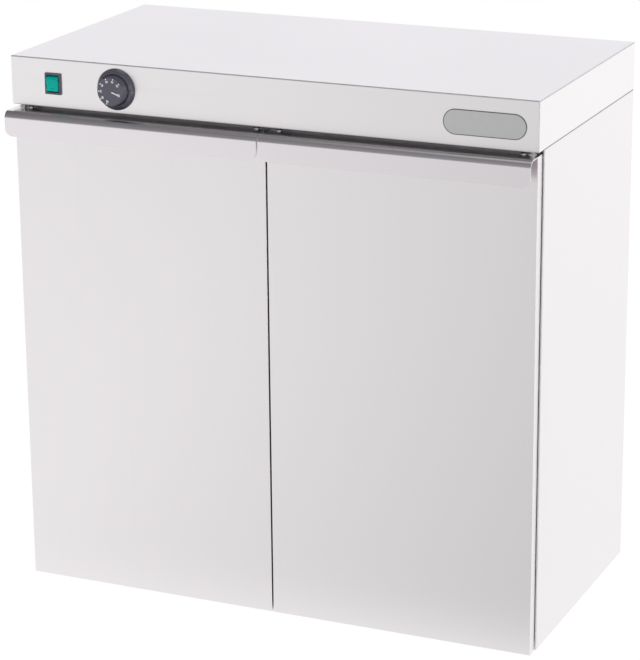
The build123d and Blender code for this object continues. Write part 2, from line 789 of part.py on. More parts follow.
def badge_plate():
    # Bare oval plate with a raised rim.
    plate = extrude(SlotOverall(*badge_size), badge_sheet)
    inner = extrude(SlotOverall(badge_size[0] - 2 * badge_rim, badge_size[1] - 2 * badge_rim), badge_recess)
    plate -= Pos(0, 0, badge_sheet - badge_recess) * inner
    return Pos(badge_x, 0, badge_z) * Rot(90, 0, 0) * plate


def terminal_block():
    w, d, h = terminal_size
    low = control_floor_top
    case = block(lead_x - w / 2, lead_x + w / 2, terminal_y, terminal_y + d, low, low + h)
    wells = [upright_rod(lead_x + x, terminal_y + d / 2 + y, low + h / 2, low + h, terminal_well_radius)
             for x in (-terminal_pitch, 0, terminal_pitch) for y in (-terminal_well_y, terminal_well_y)]
    return case - wells


def control_leads():
    # Leads in the cap: terminal block to switch, and switch to thermostat.
    blade_end = switch_depth + blade_size[1]
    leads = []
    for start, (x, z) in zip(lead_places(), (blade_places[0], blade_places[4])):
        end_x = switch_x + x
        end_z = control_z + z
        points = [(start, terminal_y, terminal_z), (start, blade_end + lead_run[0], terminal_z),
                  (end_x, blade_end + lead_run[1], end_z), (end_x, blade_end, end_z)]
        leads.append(bent_rod(points, control_lead_bend, control_lead_radius))
    x, z = blade_places[5]
    case_back = cap_sheet + thermostat_size[1]
    link_y = case_back + lead_run[2]
    end_x = knob_x - thermostat_lead_x
    link = [(switch_x + x, blade_end, control_z + z), (switch_x + x, link_y, control_z + z),
            (end_x, link_y, control_z + z), (end_x, case_back, control_z + z)]
    leads.append(bent_rod(link, control_lead_bend, control_lead_radius))
    return group(leads)


def cable_gland():
    # Body with hexagon and domed cap outside the cap's back, lock nut inside.
    outer = cap_depth + gland_hex_length
    inner = cap_depth - cap_sheet
    thread_end = inner - gland_nut_length - gland_thread_end
    hexagon = extrude(RegularPolygon(gland_hex, 6), gland_hex_length)
    hexagon = Pos(gland_x, outer, control_z) * Rot(90, 0, 0) * hexagon
    dome_radius = gland_hex - gland_dome_inset
    profile = [(gland_bore, outer), (dome_radius, outer), (dome_radius, outer + gland_dome_straight),
               (gland_bore + gland_mouth_wall, gland_end), (gland_bore, gland_end)]
    dome = depth_turned(profile, gland_x, control_z)
    thread = depth_rod(gland_x, control_z, thread_end, cap_depth, gland_thread_radius)
    body = hexagon + dome + thread - depth_rod(gland_x, control_z, thread_end, gland_end, gland_bore)
    nut = extrude(RegularPolygon(gland_hex, 6), gland_nut_length) - Cylinder(gland_thread_radius, cap_depth)
    nut = Pos(gland_x, inner, control_z) * Rot(90, 0, 0) * nut
    return group([body, nut])


# ---------------------------------------------------------------- hinges and catches
def upper_hinge_pins():
    low = rail_bottom - pivot_collar
    pin = upright_rod(pivot_x, pivot_y, handle_top - pivot_depth, body_top, pivot_radius)
    collar = upright_rod(pivot_x, pivot_y, low, rail_bottom, pivot_collar_radius)
    return group(pair(pin + collar))


def lower_hinge_brackets():
    # Bent arm under each door. It runs inwards from the pivot before it turns back,
    # so the door's end wall swings round it.
    x0 = pivot_x - bracket_reach
    z0 = door_floor - bush_flange - door_lift - bracket_sheet
    front = pivot_y - bracket_end_radius
    arm = block(x0, pivot_x, front, pivot_y + bracket_end_radius, z0, bracket_top)
    eye = upright_rod(pivot_x, pivot_y, z0, bracket_top, bracket_end_radius)
    tail = block(x0, x0 + bracket_arm, front, jamb_face, z0, bracket_top)
    leg = block(x0, x0 + bracket_arm, jamb_face - bracket_sheet, jamb_face, z0, bracket_top + bracket_leg)
    pin = upright_rod(pivot_x, pivot_y, bracket_top, door_floor + bush_length, pivot_radius)
    holes = [screw_hole_back(px, pz, jamb_face - bracket_sheet, jamb_face)
             for px, pz in bracket_screw_places() if px > 0]
    return group(pair(arm + eye + tail + leg + pin - holes))


def bush(z, direction):
    # Flanged sleeve; the flange lies on level z and the sleeve runs along direction.
    flange_end = z - direction * bush_flange
    sleeve_end = z + direction * bush_length
    flange = upright_rod(pivot_x, pivot_y, min(z, flange_end), max(z, flange_end), bush_flange_radius)
    sleeve = upright_rod(pivot_x, pivot_y, min(z, sleeve_end), max(z, sleeve_end), pivot_radius + bush_wall)
    low, high = min(flange_end, sleeve_end), max(flange_end, sleeve_end)
    return flange + sleeve - upright_rod(pivot_x, pivot_y, low, high, pivot_radius + running_gap)


def right_door_bushes():
    return group([bush(door_floor, 1), bush(handle_top, -1)])


def catch_magnets():
    w, h = magnet_size
    high = rail_bottom - magnet_below_rail
    y0 = pan_face + strike_sheet + catch_gap
    magnet = block(magnet_from_centre - w / 2, magnet_from_centre + w / 2, y0, jamb_face, high - h, high)
    return group(pair(magnet))


def right_door_strike_plate():
    w, h = magnet_size
    high = rail_bottom - magnet_below_rail
    plate = block(magnet_from_centre - w / 2, magnet_from_centre + w / 2, pan_face, pan_face + strike_sheet,
                  high - h, min(high, door_top - pan_ring_inset))
    return plate


# ---------------------------------------------------------------- doors
def right_door_skin():
    # Shallow tray: face, four walls and return flanges. The floor is raised over the hinge bracket.
    outer = block(door_start, door_end, door_setback, door_back, door_floor, door_top)
    face = block(door_start, door_end, door_setback, door_setback + skin_sheet, body_bottom, door_floor)
    ends = [block(x, x + skin_sheet, door_setback, door_back, body_bottom, door_floor)
            for x in (door_start, door_end - skin_sheet)]
    outer = outer + face + ends
    front = outer.faces().sort_by(Axis.Y)[0]
    outer = fillet(front.edges().filter_by(Axis.Z) + front.edges().filter_by(Axis.X).sort_by(Axis.Z)[:1],
                   min(fold_radius, skin_sheet * 0.95))
    hollow = block(door_start + skin_sheet, door_end - skin_sheet, door_setback + skin_sheet,
                   door_back - skin_sheet, door_floor + skin_sheet, door_top - skin_sheet)
    rim = skin_sheet + door_flange
    mouth = block(door_start + rim, door_end - rim, door_back - skin_sheet, door_back,
                  door_floor + rim, door_top - rim)
    sleeve = pivot_radius + bush_wall
    holes = [upright_rod(pivot_x, pivot_y, door_floor, door_floor + skin_sheet, sleeve),
             upright_rod(pivot_x, pivot_y, door_top - skin_sheet, door_top, sleeve)]
    holes += [screw_hole_up(x, pivot_y, door_top - skin_sheet, door_top) for x in handle_screw_x()]
    return outer - [hollow, mouth] - holes


def handle_screw_x():
    return [door_start + handle_screw_inset, pivot_x - handle_screw_from_pivot]


def right_door_inner_pan():
    ring_x0 = door_start + pan_ring_inset
    ring_x1 = door_end - pan_ring_hinge_inset
    x0 = door_start + pan_centre_margin
    x1 = door_end - pan_hinge_margin
    z0 = cavity_floor + pan_opening_gap
    z1 = cavity_ceiling - pan_opening_gap
    ring = block(ring_x0, ring_x1, door_back, pan_face,
                 door_floor + pan_ring_inset, door_top - pan_ring_inset)
    raised = block(x0, x1, door_back, pan_back, z0, z1)
    raised = fillet(raised.faces().sort_by(Axis.Y)[-1].edges(), pan_bend)
    t = pan_sheet
    hollow = block(x0 + t, x1 - t, door_back, pan_back - t, z0 + t, z1 - t)
    hollow = fillet(hollow.faces().sort_by(Axis.Y)[-1].edges(), pan_bend - pan_sheet)
    return ring + raised - hollow


def right_door_insulation():
    x0 = door_start + skin_sheet + door_flange + seat_gap
    x1 = door_end - pan_hinge_margin - pan_bend
    z0 = cavity_floor + pan_opening_gap + pan_bend
    z1 = cavity_ceiling - pan_opening_gap - pan_bend
    y1 = pan_back - pan_sheet - seat_gap
    return block(x0, x1, door_setback + skin_sheet + seat_gap, y1, z0, z1)


def right_door_handle():
    # Bent strip: flat on the door's top, forward, and down in front of the face.
    low = handle_top - handle_drop
    inner = handle_bend - handle_sheet
    y_in = handle_front + handle_sheet
    centre_y = handle_front + handle_bend
    centre_z = handle_top - handle_bend
    k = cos(radians(45))
    outer_arc = ThreePointArc((handle_front, centre_z),
                              (centre_y - handle_bend * k, centre_z + handle_bend * k),
                              (centre_y, handle_top))
    inner_arc = ThreePointArc((centre_y, door_top),
                              (centre_y - inner * k, centre_z + inner * k), (y_in, centre_z))
    outline = [outer_arc, inner_arc, Polyline((centre_y, handle_top), (handle_back, handle_top),
                                              (handle_back, door_top), (centre_y, door_top)),
               Polyline((y_in, centre_z), (y_in, low), (handle_front, low), (handle_front, centre_z))]
    length = door_end + handle_end_overhang - door_start
    strip = extrude(Plane.YZ * make_face(outline), length)
    strip = Pos(door_start, 0, 0) * strip
    corners = strip.edges().filter_by(Axis.Y).group_by(Axis.Z)[0]
    strip = fillet(corners, handle_corner)
    sleeve = upright_rod(pivot_x, pivot_y, door_top, handle_top, pivot_radius + bush_wall)
    return strip - sleeve - [screw_hole_up(x, pivot_y, door_top, handle_top) for x in handle_screw_x()]


def right_door_handle_screws():
    screw = pan_screw(screw_shank, handle_screw_length, handle_screw_head_radius, handle_screw_head)
    return group([Pos(x, pivot_y, handle_top) * screw for x in handle_screw_x()])


# ---------------------------------------------------------------- shelving
def upright(x_face, y, facing):
    # Channel against the liner, slotted down its face. facing is +1 on the right wall.
    x0, x1 = sorted((x_face, x_face + facing * upright_depth))
    half = upright_width / 2
    bar = block(x0, x1, y - half, y + half, upright_bottom, upright_top)
    web0, web1 = sorted((x_face + facing * upright_sheet, x_face + facing * upright_depth))
    bar -= block(web0, web1, y - half + upright_sheet, y + half - upright_sheet, upright_bottom, upright_top)
    count = int((upright_top - upright_bottom - slot_pitch / 2) / slot_pitch)
    s0, s1 = sorted((x_face, x_face + facing * upright_sheet))
    w, h = slot_size
    return bar - [block(s0, s1, y - w / 2, y + w / 2, slot_level(i + 1) - h / 2, slot_level(i + 1) + h / 2)
                  for i in range(count)]


def shelf_uprights():
    return group([upright(s * upright_face_x, y, s) for s in (-1, 1) for y in upright_y])


def shelf_clip(y, level):
    # Hangs by a tab in a slot and holds the shelf's frame wire in its trough. Right-hand wall.
    half = clip_width / 2
    plate_x = upright_face_x - clip_sheet
    lip_x = plate_x - shelf_wire_gap - 2 * shelf_frame_radius - shelf_wire_gap
    base = level - clip_sheet
    plate = block(plate_x, upright_face_x, y - half, y + half, base, base + clip_plate)
    ledge = block(lip_x - clip_sheet, plate_x, y - half, y + half, base, level)
    lip = block(lip_x - clip_sheet, lip_x, y - half, y + half, level, level + clip_lip)
    w, h = clip_tab
    tab_z = level + clip_plate / 2
    tab = block(upright_face_x, upright_face_x + clip_tab_depth, y - w / 2, y + w / 2,
                tab_z - h / 2, tab_z + h / 2)
    return plate + ledge + lip + tab


def shelf_rest(index):
    return slot_level(shelf_slots[index]) - clip_plate / 2


def shelf_clips():
    clips = []
    for index in range(len(shelf_slots)):
        for y in upright_y:
            clips += pair(shelf_clip(y, shelf_rest(index)))
    return group(clips)


def wire_shelf(index):
    level = shelf_rest(index) + shelf_frame_radius
    plate_x = upright_face_x - clip_sheet
    x = plate_x - shelf_wire_gap - shelf_frame_radius
    y0 = pan_back + shelf_front_gap + shelf_frame_radius
    y1 = cavity_back - shelf_back_gap - shelf_frame_radius
    loop = Pos(0, (y0 + y1) / 2, level) * RectangleRounded(2 * x, y1 - y0, shelf_corner)
    path = loop.wire()
    frame = sweep(Plane(origin=path @ 0, z_dir=path % 0) * Circle(shelf_frame_radius), path=path)
    cross_y = (y0 + shelf_cross_insets[0], y1 - shelf_cross_insets[1])
    crosses = [width_rod(-x, x, y, level, shelf_cross_radius) for y in cross_y]
    wire_z = level + shelf_cross_radius + shelf_wire_radius - weld_sink
    wire_y = (y0 - shelf_wire_overhang, y1 + shelf_wire_overhang)
    count = int((x - shelf_corner) / shelf_wire_pitch)
    wires = [depth_rod(i * shelf_wire_pitch, wire_z, *wire_y, shelf_wire_radius)
             for i in range(-count, count + 1)]
    return frame + crosses + wires


# ---------------------------------------------------------------- feet and fasteners
def rubber_feet():
    feet = []
    for x, y in foot_places():
        foot = Pos(x, y, tray_bottom / 2) * Cone(foot_radius - foot_taper, foot_radius, tray_bottom)
        foot -= upright_rod(x, y, 0, foot_recess, foot_recess_radius)
        foot -= screw_hole_up(x, y, foot_recess, tray_bottom)
        feet.append(foot)
    return group(feet)


def foot_fasteners():
    length = tray_top + nut_height + foot_screw_end - foot_recess
    screw = Rot(180, 0, 0) * body_screw(length)
    hexagon = RegularPolygon(nut_across / 2, 6, major_radius=False) - Circle(screw_shank)
    nut = extrude(hexagon, nut_height)
    pieces = []
    for x, y in foot_places():
        pieces += [Pos(x, y, foot_recess) * screw, Pos(x, y, tray_top) * nut]
    return group(pieces)


def back_panel_screws():
    screw = Rot(-90, 0, 0) * body_screw(back_screw_length)
    return group([Pos(x, cap_depth, z) * screw for x, z in back_screw_places()])


def body_screws():
    # Cap screws from below, thermostat screws behind the knob, hinge bracket screws.
    up = Rot(180, 0, 0) * body_screw(cap_screw_length)
    inwards = Rot(90, 0, 0) * body_screw(thermostat_screw_length)
    screws = [Pos(x, y, panel_top - skin_sheet) * up for x, y in cap_screw_places()]
    screws += [Pos(x, -bezel_floor, z) * inwards for x, z in thermostat_screw_places()]
    bracket = Rot(90, 0, 0) * pan_screw(screw_shank, bracket_screw_length, screw_head_radius, low_head)
    screws += [Pos(x, jamb_face - bracket_sheet, z) * bracket for x, z in bracket_screw_places()]
    return group(screws)


# ---------------------------------------------------------------- export
right_hand = {
    "side_panel": right_side_panel(),
    "liner": right_liner(),
    "insulation": right_insulation(),
    "door_skin": right_door_skin(),
    "door_inner_pan": right_door_inner_pan(),
    "door_insulation": right_door_insulation(),
    "door_handle": right_door_handle(),
    "door_handle_screws": right_door_handle_screws(),
    "door_bushes": right_door_bushes(),
    "door_strike_plate": right_door_strike_plate(),
}
nodes = {
    "top_cap": top_cap(),
    "control_floor": control_floor(),
    "back_panel": back_panel(),
    "base_tray": base_tray(),
    "top_rail": top_rail(),
    "bottom_rail": bottom_rail(),
    "back_liner": back_liner(),
    "top_liner": top_liner(),
    "back_insulation": back_insulation(),
    "top_insulation": top_insulation(),
    "heater_deck": heater_deck(),
    "heater_element": heater_element(),
    "heater_brackets": heater_brackets(),
    "heater_leads": heater_leads(),
    "capillary_sensor": capillary_sensor(),
    "high_limit_thermostat": high_limit_thermostat(),
    "thermostat_body": thermostat_body(),
    "knob_bezel": knob_bezel(),
    "control_knob": control_knob(),
    "thermostat_shaft": thermostat_shaft(),
    "switch_housing": switch_housing(),
    "switch_rocker": switch_rocker(),
    "switch_terminals": switch_terminals(),
    "badge_plate": badge_plate(),
    "terminal_block": terminal_block(),
    "control_leads": control_leads(),
    "cable_gland": cable_gland(),
    "upper_hinge_pins": upper_hinge_pins(),
    "lower_hinge_brackets": lower_hinge_brackets(),
    "catch_magnets": catch_magnets(),
    "shelf_uprights": shelf_uprights(),
    "shelf_clips": shelf_clips(),
    "lower_shelf": wire_shelf(0),
    "upper_shelf": wire_shelf(1),
    "rubber_feet": rubber_feet(),
    "foot_fasteners": foot_fasteners(),
    "back_panel_screws": back_panel_screws(),
    "body_screws": body_screws(),
}
for name, shape in right_hand.items():
    nodes["right_" + name] = shape
    nodes["left_" + name] = left_of(shape)

for name, shape in nodes.items():
    solids = [solid.moved(Location((0, -origin_y, 0))) for solid in shape.solids()]
    export_step(solids[0] if len(solids) == 1 else Compound(solids), f"parts/{name}.step")
print(len(nodes), "nodes, origin", round(origin_y, 2), "behind the cap front")
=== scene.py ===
import json
from math import copysign, cos, pi, radians, sin, sqrt, tan

import bmesh
import bpy
from mathutils import Matrix, Vector


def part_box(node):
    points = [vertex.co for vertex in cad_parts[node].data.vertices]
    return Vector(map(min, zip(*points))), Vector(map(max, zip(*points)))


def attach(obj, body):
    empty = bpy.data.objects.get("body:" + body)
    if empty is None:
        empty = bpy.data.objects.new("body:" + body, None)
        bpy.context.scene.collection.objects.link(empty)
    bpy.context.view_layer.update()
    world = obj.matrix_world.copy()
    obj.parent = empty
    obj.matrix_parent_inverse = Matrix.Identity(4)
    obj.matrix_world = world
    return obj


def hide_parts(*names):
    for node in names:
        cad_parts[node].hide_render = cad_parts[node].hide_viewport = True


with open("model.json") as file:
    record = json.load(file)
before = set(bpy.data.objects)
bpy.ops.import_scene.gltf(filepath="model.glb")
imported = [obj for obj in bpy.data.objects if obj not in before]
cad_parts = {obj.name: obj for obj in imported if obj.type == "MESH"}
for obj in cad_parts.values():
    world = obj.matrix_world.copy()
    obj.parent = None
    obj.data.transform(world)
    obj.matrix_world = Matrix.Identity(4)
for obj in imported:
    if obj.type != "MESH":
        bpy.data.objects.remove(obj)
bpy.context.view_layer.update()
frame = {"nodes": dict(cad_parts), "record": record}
print("frame loaded:", len(frame["nodes"]), "nodes")


# a small language for shader nodes

class Wire:
    def __init__(self, sheet, socket):
        self.sheet = sheet
        self.socket = socket

    def maths(self, operation, other, flip=False, clamp=False):
        node = self.sheet.tree.nodes.new("ShaderNodeMath")
        node.operation = operation
        node.use_clamp = clamp
        for socket, value in zip(node.inputs, (other, self) if flip else (self, other)):
            self.sheet.feed(socket, value)
        return Wire(self.sheet, node.outputs[0])

    def __add__(self, other): return self.maths("ADD", other)
    def __radd__(self, other): return self.maths("ADD", other, flip=True)
    def __sub__(self, other): return self.maths("SUBTRACT", other)
    def __rsub__(self, other): return self.maths("SUBTRACT", other, flip=True)
    def __mul__(self, other): return self.maths("MULTIPLY", other)
    def __rmul__(self, other): return self.maths("MULTIPLY", other, flip=True)
    def __truediv__(self, other): return self.maths("DIVIDE", other)
    def clamped(self): return self.maths("ADD", 0.0, clamp=True)
    def swing(self, amount): return (self - 0.5) * amount  # a noise about its middle


class Sheet:
    def __init__(self, tree):
        self.tree = tree

    def feed(self, socket, value):
        if isinstance(value, Wire):
            self.tree.links.new(value.socket, socket)
        elif isinstance(value, (tuple, list)) and len(value) == 3 and socket.type == "RGBA":
            socket.default_value = (*value, 1.0)
        else:
            socket.default_value = value

    def node(self, kind, inputs=None, output=0, **settings):
        node = self.tree.nodes.new(kind)
        for key, value in settings.items():
            setattr(node, key, value)
        for key, value in (inputs or {}).items():
            self.feed(node.inputs[key], value)
        return Wire(self, node.outputs[output])

    def place(self, stretch=(1, 1, 1), turn=(0, 0, 0)):
        coordinates = self.node("ShaderNodeTexCoord", output="Object")
        return self.node("ShaderNodeMapping", {"Vector": coordinates, "Scale": stretch, "Rotation": turn})

    def split(self, vector):
        parts = self.tree.nodes.new("ShaderNodeSeparateXYZ")
        self.feed(parts.inputs[0], vector)
        return [Wire(self, out) for out in parts.outputs]

    def noise(self, where, scale, detail=2.0, roughness=0.5):
        return self.node("ShaderNodeTexNoise", {"Vector": where, "Scale": scale, "Detail": detail,
                                                "Roughness": roughness})

    def ramp(self, value, stops):
        hue = self.node("ShaderNodeValToRGB", {"Fac": value})
        ramp = hue.socket.node.color_ramp.elements
        while len(ramp) < len(stops):
            ramp.new(0.5)
        for stop, (place, colour) in zip(ramp, stops):
            stop.position = place
            stop.color = (*colour, 1.0)
        return hue

    def between(self, factor, first, second):
        return self.node("ShaderNodeMix", {0: factor, 6: first, 7: second}, output=2, data_type="RGBA")

    def tinted(self, factor, colour, dark, light):
        return self.between(factor, shade(colour, dark), shade(colour, light))

    def bump(self, height, strength, distance):
        return self.node("ShaderNodeBump", {"Height": height, "Strength": strength, "Distance": distance})


class Finish(Sheet):
    def __init__(self, name, **constants):
        self.material = bpy.data.materials.new(name)
        self.material.use_nodes = True
        super().__init__(self.material.node_tree)
        self.shader = self.tree.nodes["Principled BSDF"]
        self.set(**constants)

    def set(self, **inputs):
        for key, value in inputs.items():
            self.feed(self.shader.inputs[key.replace("_", " ")], value)
        return self.material

    def coated(self, colour, rough, relief, **more):
        return self.set(Base_Color=colour, Roughness=rough, Normal=self.bump(*relief), **more)


def shade(colour, amount):
    return tuple(min(1.0, c * amount) for c in colour)


# finishes

def brushedSteel(name, look):
    # fine drawn grain along one axis, soft cloudy polish and a few longer drag marks
    sheet = Finish(name, Metallic=1.0, IOR=2.2)
    grainPlace = sheet.place(stretch=look["grain"])
    fine = sheet.noise(grainPlace, 1.0, 2.0, 0.6)
    broad = sheet.noise(grainPlace, 0.23, 1.0)
    drag = sheet.noise(grainPlace, 0.07, 3.0, 0.7)
    cloud = sheet.noise(sheet.place(), look["cloudScale"], 2.0)
    grain = fine * 0.55 + broad * 0.45
    line = ((drag - 0.62) * 9.0).clamped()
    tone = grain.swing(look["streak"]) + cloud.swing(look["cloud"]) + 0.5 - line * look["streak"] * 0.5
    colour = sheet.tinted(tone.clamped(), look["colour"], 0.88, 1.12)
    rough = grain.swing(look["streak"]) * 0.6 + cloud.swing(0.06) + look["rough"] + line * 0.03
    back, up = sheet.split(sheet.place())[1:]
    if "seam" in look:  # painted shade: darker colour in the groove where the sheet tucks in under the cap
        groove = ((up - look["seam"]) / look["seamWidth"]).clamped()
        colour = sheet.between(groove, colour, shade(look["colour"], look["seamShade"]))
    if "hem" in look:  # the hem beside the door is left dull, and lightened with painted light where the gap beside it is lit
        hem = ((look["hem"] - back) / look["hemWidth"]).clamped()
        colour = sheet.between(hem, colour, look["hemColour"])
        rough = rough + hem * look["hemWear"]
    if "fold" in look:  # the fold around the top is worn dull by cloths
        worn = ((up - look["fold"]) / look["foldWidth"]).clamped() * look["wear"]
        rough = rough + worn * ((look["foldTop"] - up) / look["foldFade"]).clamped()
    return sheet.coated(colour, rough.clamped(), (grain, look["bump"], 0.00012))


def platedSteel(name, look):
    # zinc plating with its spangle
    sheet = Finish(name, Metallic=1.0)
    where = sheet.place()
    spangle = sheet.node("ShaderNodeTexVoronoi", {"Vector": where, "Scale": look["spangle"]}, output="Color",
                         feature="F1")
    flake = sheet.node("ShaderNodeRGBToBW", {0: spangle})
    haze = sheet.noise(where, 40.0, 4.0)
    tone = flake * 0.6 + haze * 0.4
    colour = sheet.tinted(tone, look["colour"], 0.8, 1.12)
    return sheet.coated(colour, look["rough"] + tone.swing(0.2), (haze, 0.06, 0.0002))


def polished(name, look):
    # bright bare metal with faint handling haze
    sheet = Finish(name, Metallic=1.0)
    where = sheet.place()
    haze = sheet.noise(where, 90.0, 3.0)
    pits = sheet.noise(where, 900.0, 2.0)
    colour = sheet.tinted(haze, look["colour"], 0.93, 1.03)
    return sheet.coated(colour, look["rough"] + haze.swing(0.08), (pits, 0.03, 0.0001))


def mouldedPlastic(name, look):
    # spark-eroded mould texture with worn, shinier patches
    sheet = Finish(name, Metallic=0.0, IOR=look.get("ior", 1.5), Coat_Roughness=0.15)
    where = sheet.place()
    pebble = sheet.noise(where, look["pebble"], 3.0, 0.6)
    wear = sheet.noise(where, 60.0, 2.0)
    colour = sheet.tinted(wear, look["colour"], 0.85, 1.25)
    return sheet.coated(colour, look["rough"] + wear.swing(0.12), (pebble, look["bump"], 0.00008),
                        Coat_Weight=look.get("coat", 0.0) * (0.7 + wear * 0.6))


def mineralWool(name, look):
    sheet = Finish(name, Metallic=0.0)
    fibres = sheet.noise(sheet.place(stretch=(260, 900, 420), turn=(0.4, 0.2, 0.7)), 1.0, 5.0, 0.7)
    cross = sheet.noise(sheet.place(stretch=(900, 260, 500), turn=(0.1, 0.8, 0.2)), 1.0, 5.0, 0.7)
    clump = sheet.noise(sheet.place(), 45.0, 4.0)
    tone = fibres * 0.4 + cross * 0.35 + clump * 0.25
    colour = sheet.tinted(tone, look["colour"], 0.62, 1.15)
    return sheet.coated(colour, 0.95 - clump * 0.05, (tone, 0.6, 0.001))


def softRubber(name, look):
    sheet = Finish(name, Metallic=0.0, IOR=1.52)
    where = sheet.place()
    dust = sheet.noise(where, 70.0, 5.0, 0.65)
    grit = sheet.noise(where, 1400.0, 2.0)
    colour = sheet.between(((dust - 0.45) * 2.0).clamped(), look["colour"], look["dust"])
    return sheet.coated(colour, look["rough"] + dust.swing(0.15), (grit, 0.15, 0.0001))


def heatedSheath(name, look):
    # nickel alloy sheath, straw and blue tempering along its length
    sheet = Finish(name, Metallic=0.85)
    where = sheet.place()
    temper = sheet.noise(where, 14.0, 3.0)
    scale = sheet.noise(where, 500.0, 4.0, 0.7)
    hue = sheet.ramp(temper, [(0.35, look["cold"]), (0.5, look["straw"]), (0.65, look["blue"])])
    colour = sheet.between(scale * 0.5, hue, look["cold"])
    return sheet.coated(colour, 0.45 + scale.swing(0.3), (scale, 0.2, 0.0002))


sheetColour = (0.852, 0.824, 0.838)
satin = {"colour": sheetColour, "rough": 0.305, "grain": (2600, 2600, 40), "streak": 0.04, "cloud": 0.08,
         "cloudScale": 3.0, "bump": 0.003}
finishes = {
    "cabinet_steel": brushedSteel("satinSheetUpright", satin),
    # side panels: painted shade along the seam under the cap, painted light on the hem beside the door
    "sidePanels": brushedSteel("satinSheetSeamed", {
        **satin, "seam": 0.6960, "seamWidth": 0.0008, "seamShade": 0.35, "hem": -0.1685, "hemWidth": 0.0010,
        "hemColour": (0.94, 0.93, 0.935), "hemWear": 0.5}),
    # the worktop's colour is the sheet colour made 2.5% lighter: painted light for the brighter top
    "worktop_steel": brushedSteel("satinSheetLengthwise", {
        **satin, "colour": shade(sheetColour, 1.025), "rough": 0.295, "grain": (40, 2600, 2600),
        "fold": 0.7612, "foldWidth": 0.0006, "foldTop": 0.76285, "foldFade": 0.0002, "wear": 0.3}),
    # the strip's colour is a darker, pinker copy of the sheet colour: painted shade and a painted reflection tint
    "handleStrip": brushedSteel("satinStripLengthwise", {
        **satin, "colour": (0.802, 0.762, 0.786), "rough": 0.21, "grain": (40, 2600, 2600)}),
    "inner_steel": brushedSteel("linerSheet", {
        "colour": (0.66, 0.655, 0.65), "rough": 0.36, "grain": (40, 2200, 2200), "streak": 0.4, "cloud": 0.4,
        "cloudScale": 5.0, "bump": 0.06}),
    "plated_steel": platedSteel("zincPlate", {"colour": (0.62, 0.64, 0.66), "rough": 0.38, "spangle": 120.0}),
    "bright_screws": polished("nickelPlate", {"colour": (0.80, 0.80, 0.81), "rough": 0.14}),
    "shelf_wire": polished("chromedWire", {"colour": (0.80, 0.80, 0.82), "rough": 0.12}),
    "mineral_wool": mineralWool("mineralWool", {"colour": (0.62, 0.55, 0.36)}),
    "heater_sheath": heatedSheath("heaterSheath", {
        "cold": (0.20, 0.19, 0.18), "straw": (0.30, 0.22, 0.12), "blue": (0.12, 0.13, 0.20)}),
    "silicone_lead": softRubber("siliconeSleeve", {
        "colour": (0.62, 0.58, 0.50), "dust": (0.70, 0.67, 0.60), "rough": 0.55}),
    "copper_tube": polished("copperTube", {"colour": (0.78, 0.42, 0.27), "rough": 0.28}),
    "brass_blade": polished("brassBlade", {"colour": (0.80, 0.62, 0.30), "rough": 0.25}),
    "control_black": mouldedPlastic("satinBlack", {
        "colour": (0.068, 0.065, 0.094), "rough": 0.30, "pebble": 1500.0, "bump": 0.10, "coat": 0.25}),
    "case_black": mouldedPlastic("caseBlack", {
        "colour": (0.045, 0.045, 0.05), "rough": 0.55, "pebble": 1100.0, "bump": 0.25}),
    "rocker_green": mouldedPlastic("greenLens", {
        "colour": (0.0, 0.38, 0.31), "rough": 0.30, "pebble": 700.0, "bump": 0.02, "ior": 1.22}),
    "badge_metal": polished("badgeSatin", {"colour": (0.62, 0.625, 0.62), "rough": 0.40}),
    "bush_plastic": mouldedPlastic("bushWhite", {
        "colour": (0.75, 0.75, 0.72), "rough": 0.4, "pebble": 900.0, "bump": 0.05}),
    "magnet_ferrite": mouldedPlastic("ferrite", {
        "colour": (0.07, 0.068, 0.07), "rough": 0.6, "pebble": 500.0, "bump": 0.4}),
    "foot_rubber": softRubber("footRubber", {
        "colour": (0.022, 0.022, 0.022), "dust": (0.06, 0.057, 0.053), "rough": 0.7}),
    "terminal_white": mouldedPlastic("terminalWhite", {
        "colour": (0.74, 0.72, 0.66), "rough": 0.35, "pebble": 800.0, "bump": 0.08}),
}
slotOf = {part["node"]: part["material_slot"] for part in frame["record"]["subparts"]}
for node, obj in frame["nodes"].items():
    obj.data.materials.clear()
    obj.data.materials.append(finishes["sidePanels" if "side_panel" in node else slotOf[node]])
print("finishes made:", len(finishes))


# mesh helpers, all in metres

def pick(look, keys):
    # several settings at once, their names parted by spaces
    return [look[key] for key in keys.split()]


def plainMesh(name, corners, faces=()):
    mesh = bpy.data.meshes.new(name)
    mesh.from_pydata(corners, [], faces)
    return mesh


def cleaned(mesh, merge, flat=0.0):
    # doubles merged, flat neighbours made one face, every face turned outwards
    shape = bmesh.new()
    shape.from_mesh(mesh)
    bmesh.ops.remove_doubles(shape, verts=shape.verts, dist=merge)
    if flat:
        bmesh.ops.dissolve_limit(shape, angle_limit=radians(flat), verts=shape.verts[:], edges=shape.edges[:])
    bmesh.ops.recalc_face_normals(shape, faces=shape.faces)
    shape.to_mesh(mesh)
    shape.free()
    return mesh


def facing(name, corners, faces):
    return cleaned(plainMesh(name, corners, faces), 1e-7)


def smoothed(mesh, angle=35):
    mesh.shade_smooth()
    mesh.set_sharp_from_angle(angle=radians(angle))
    return mesh


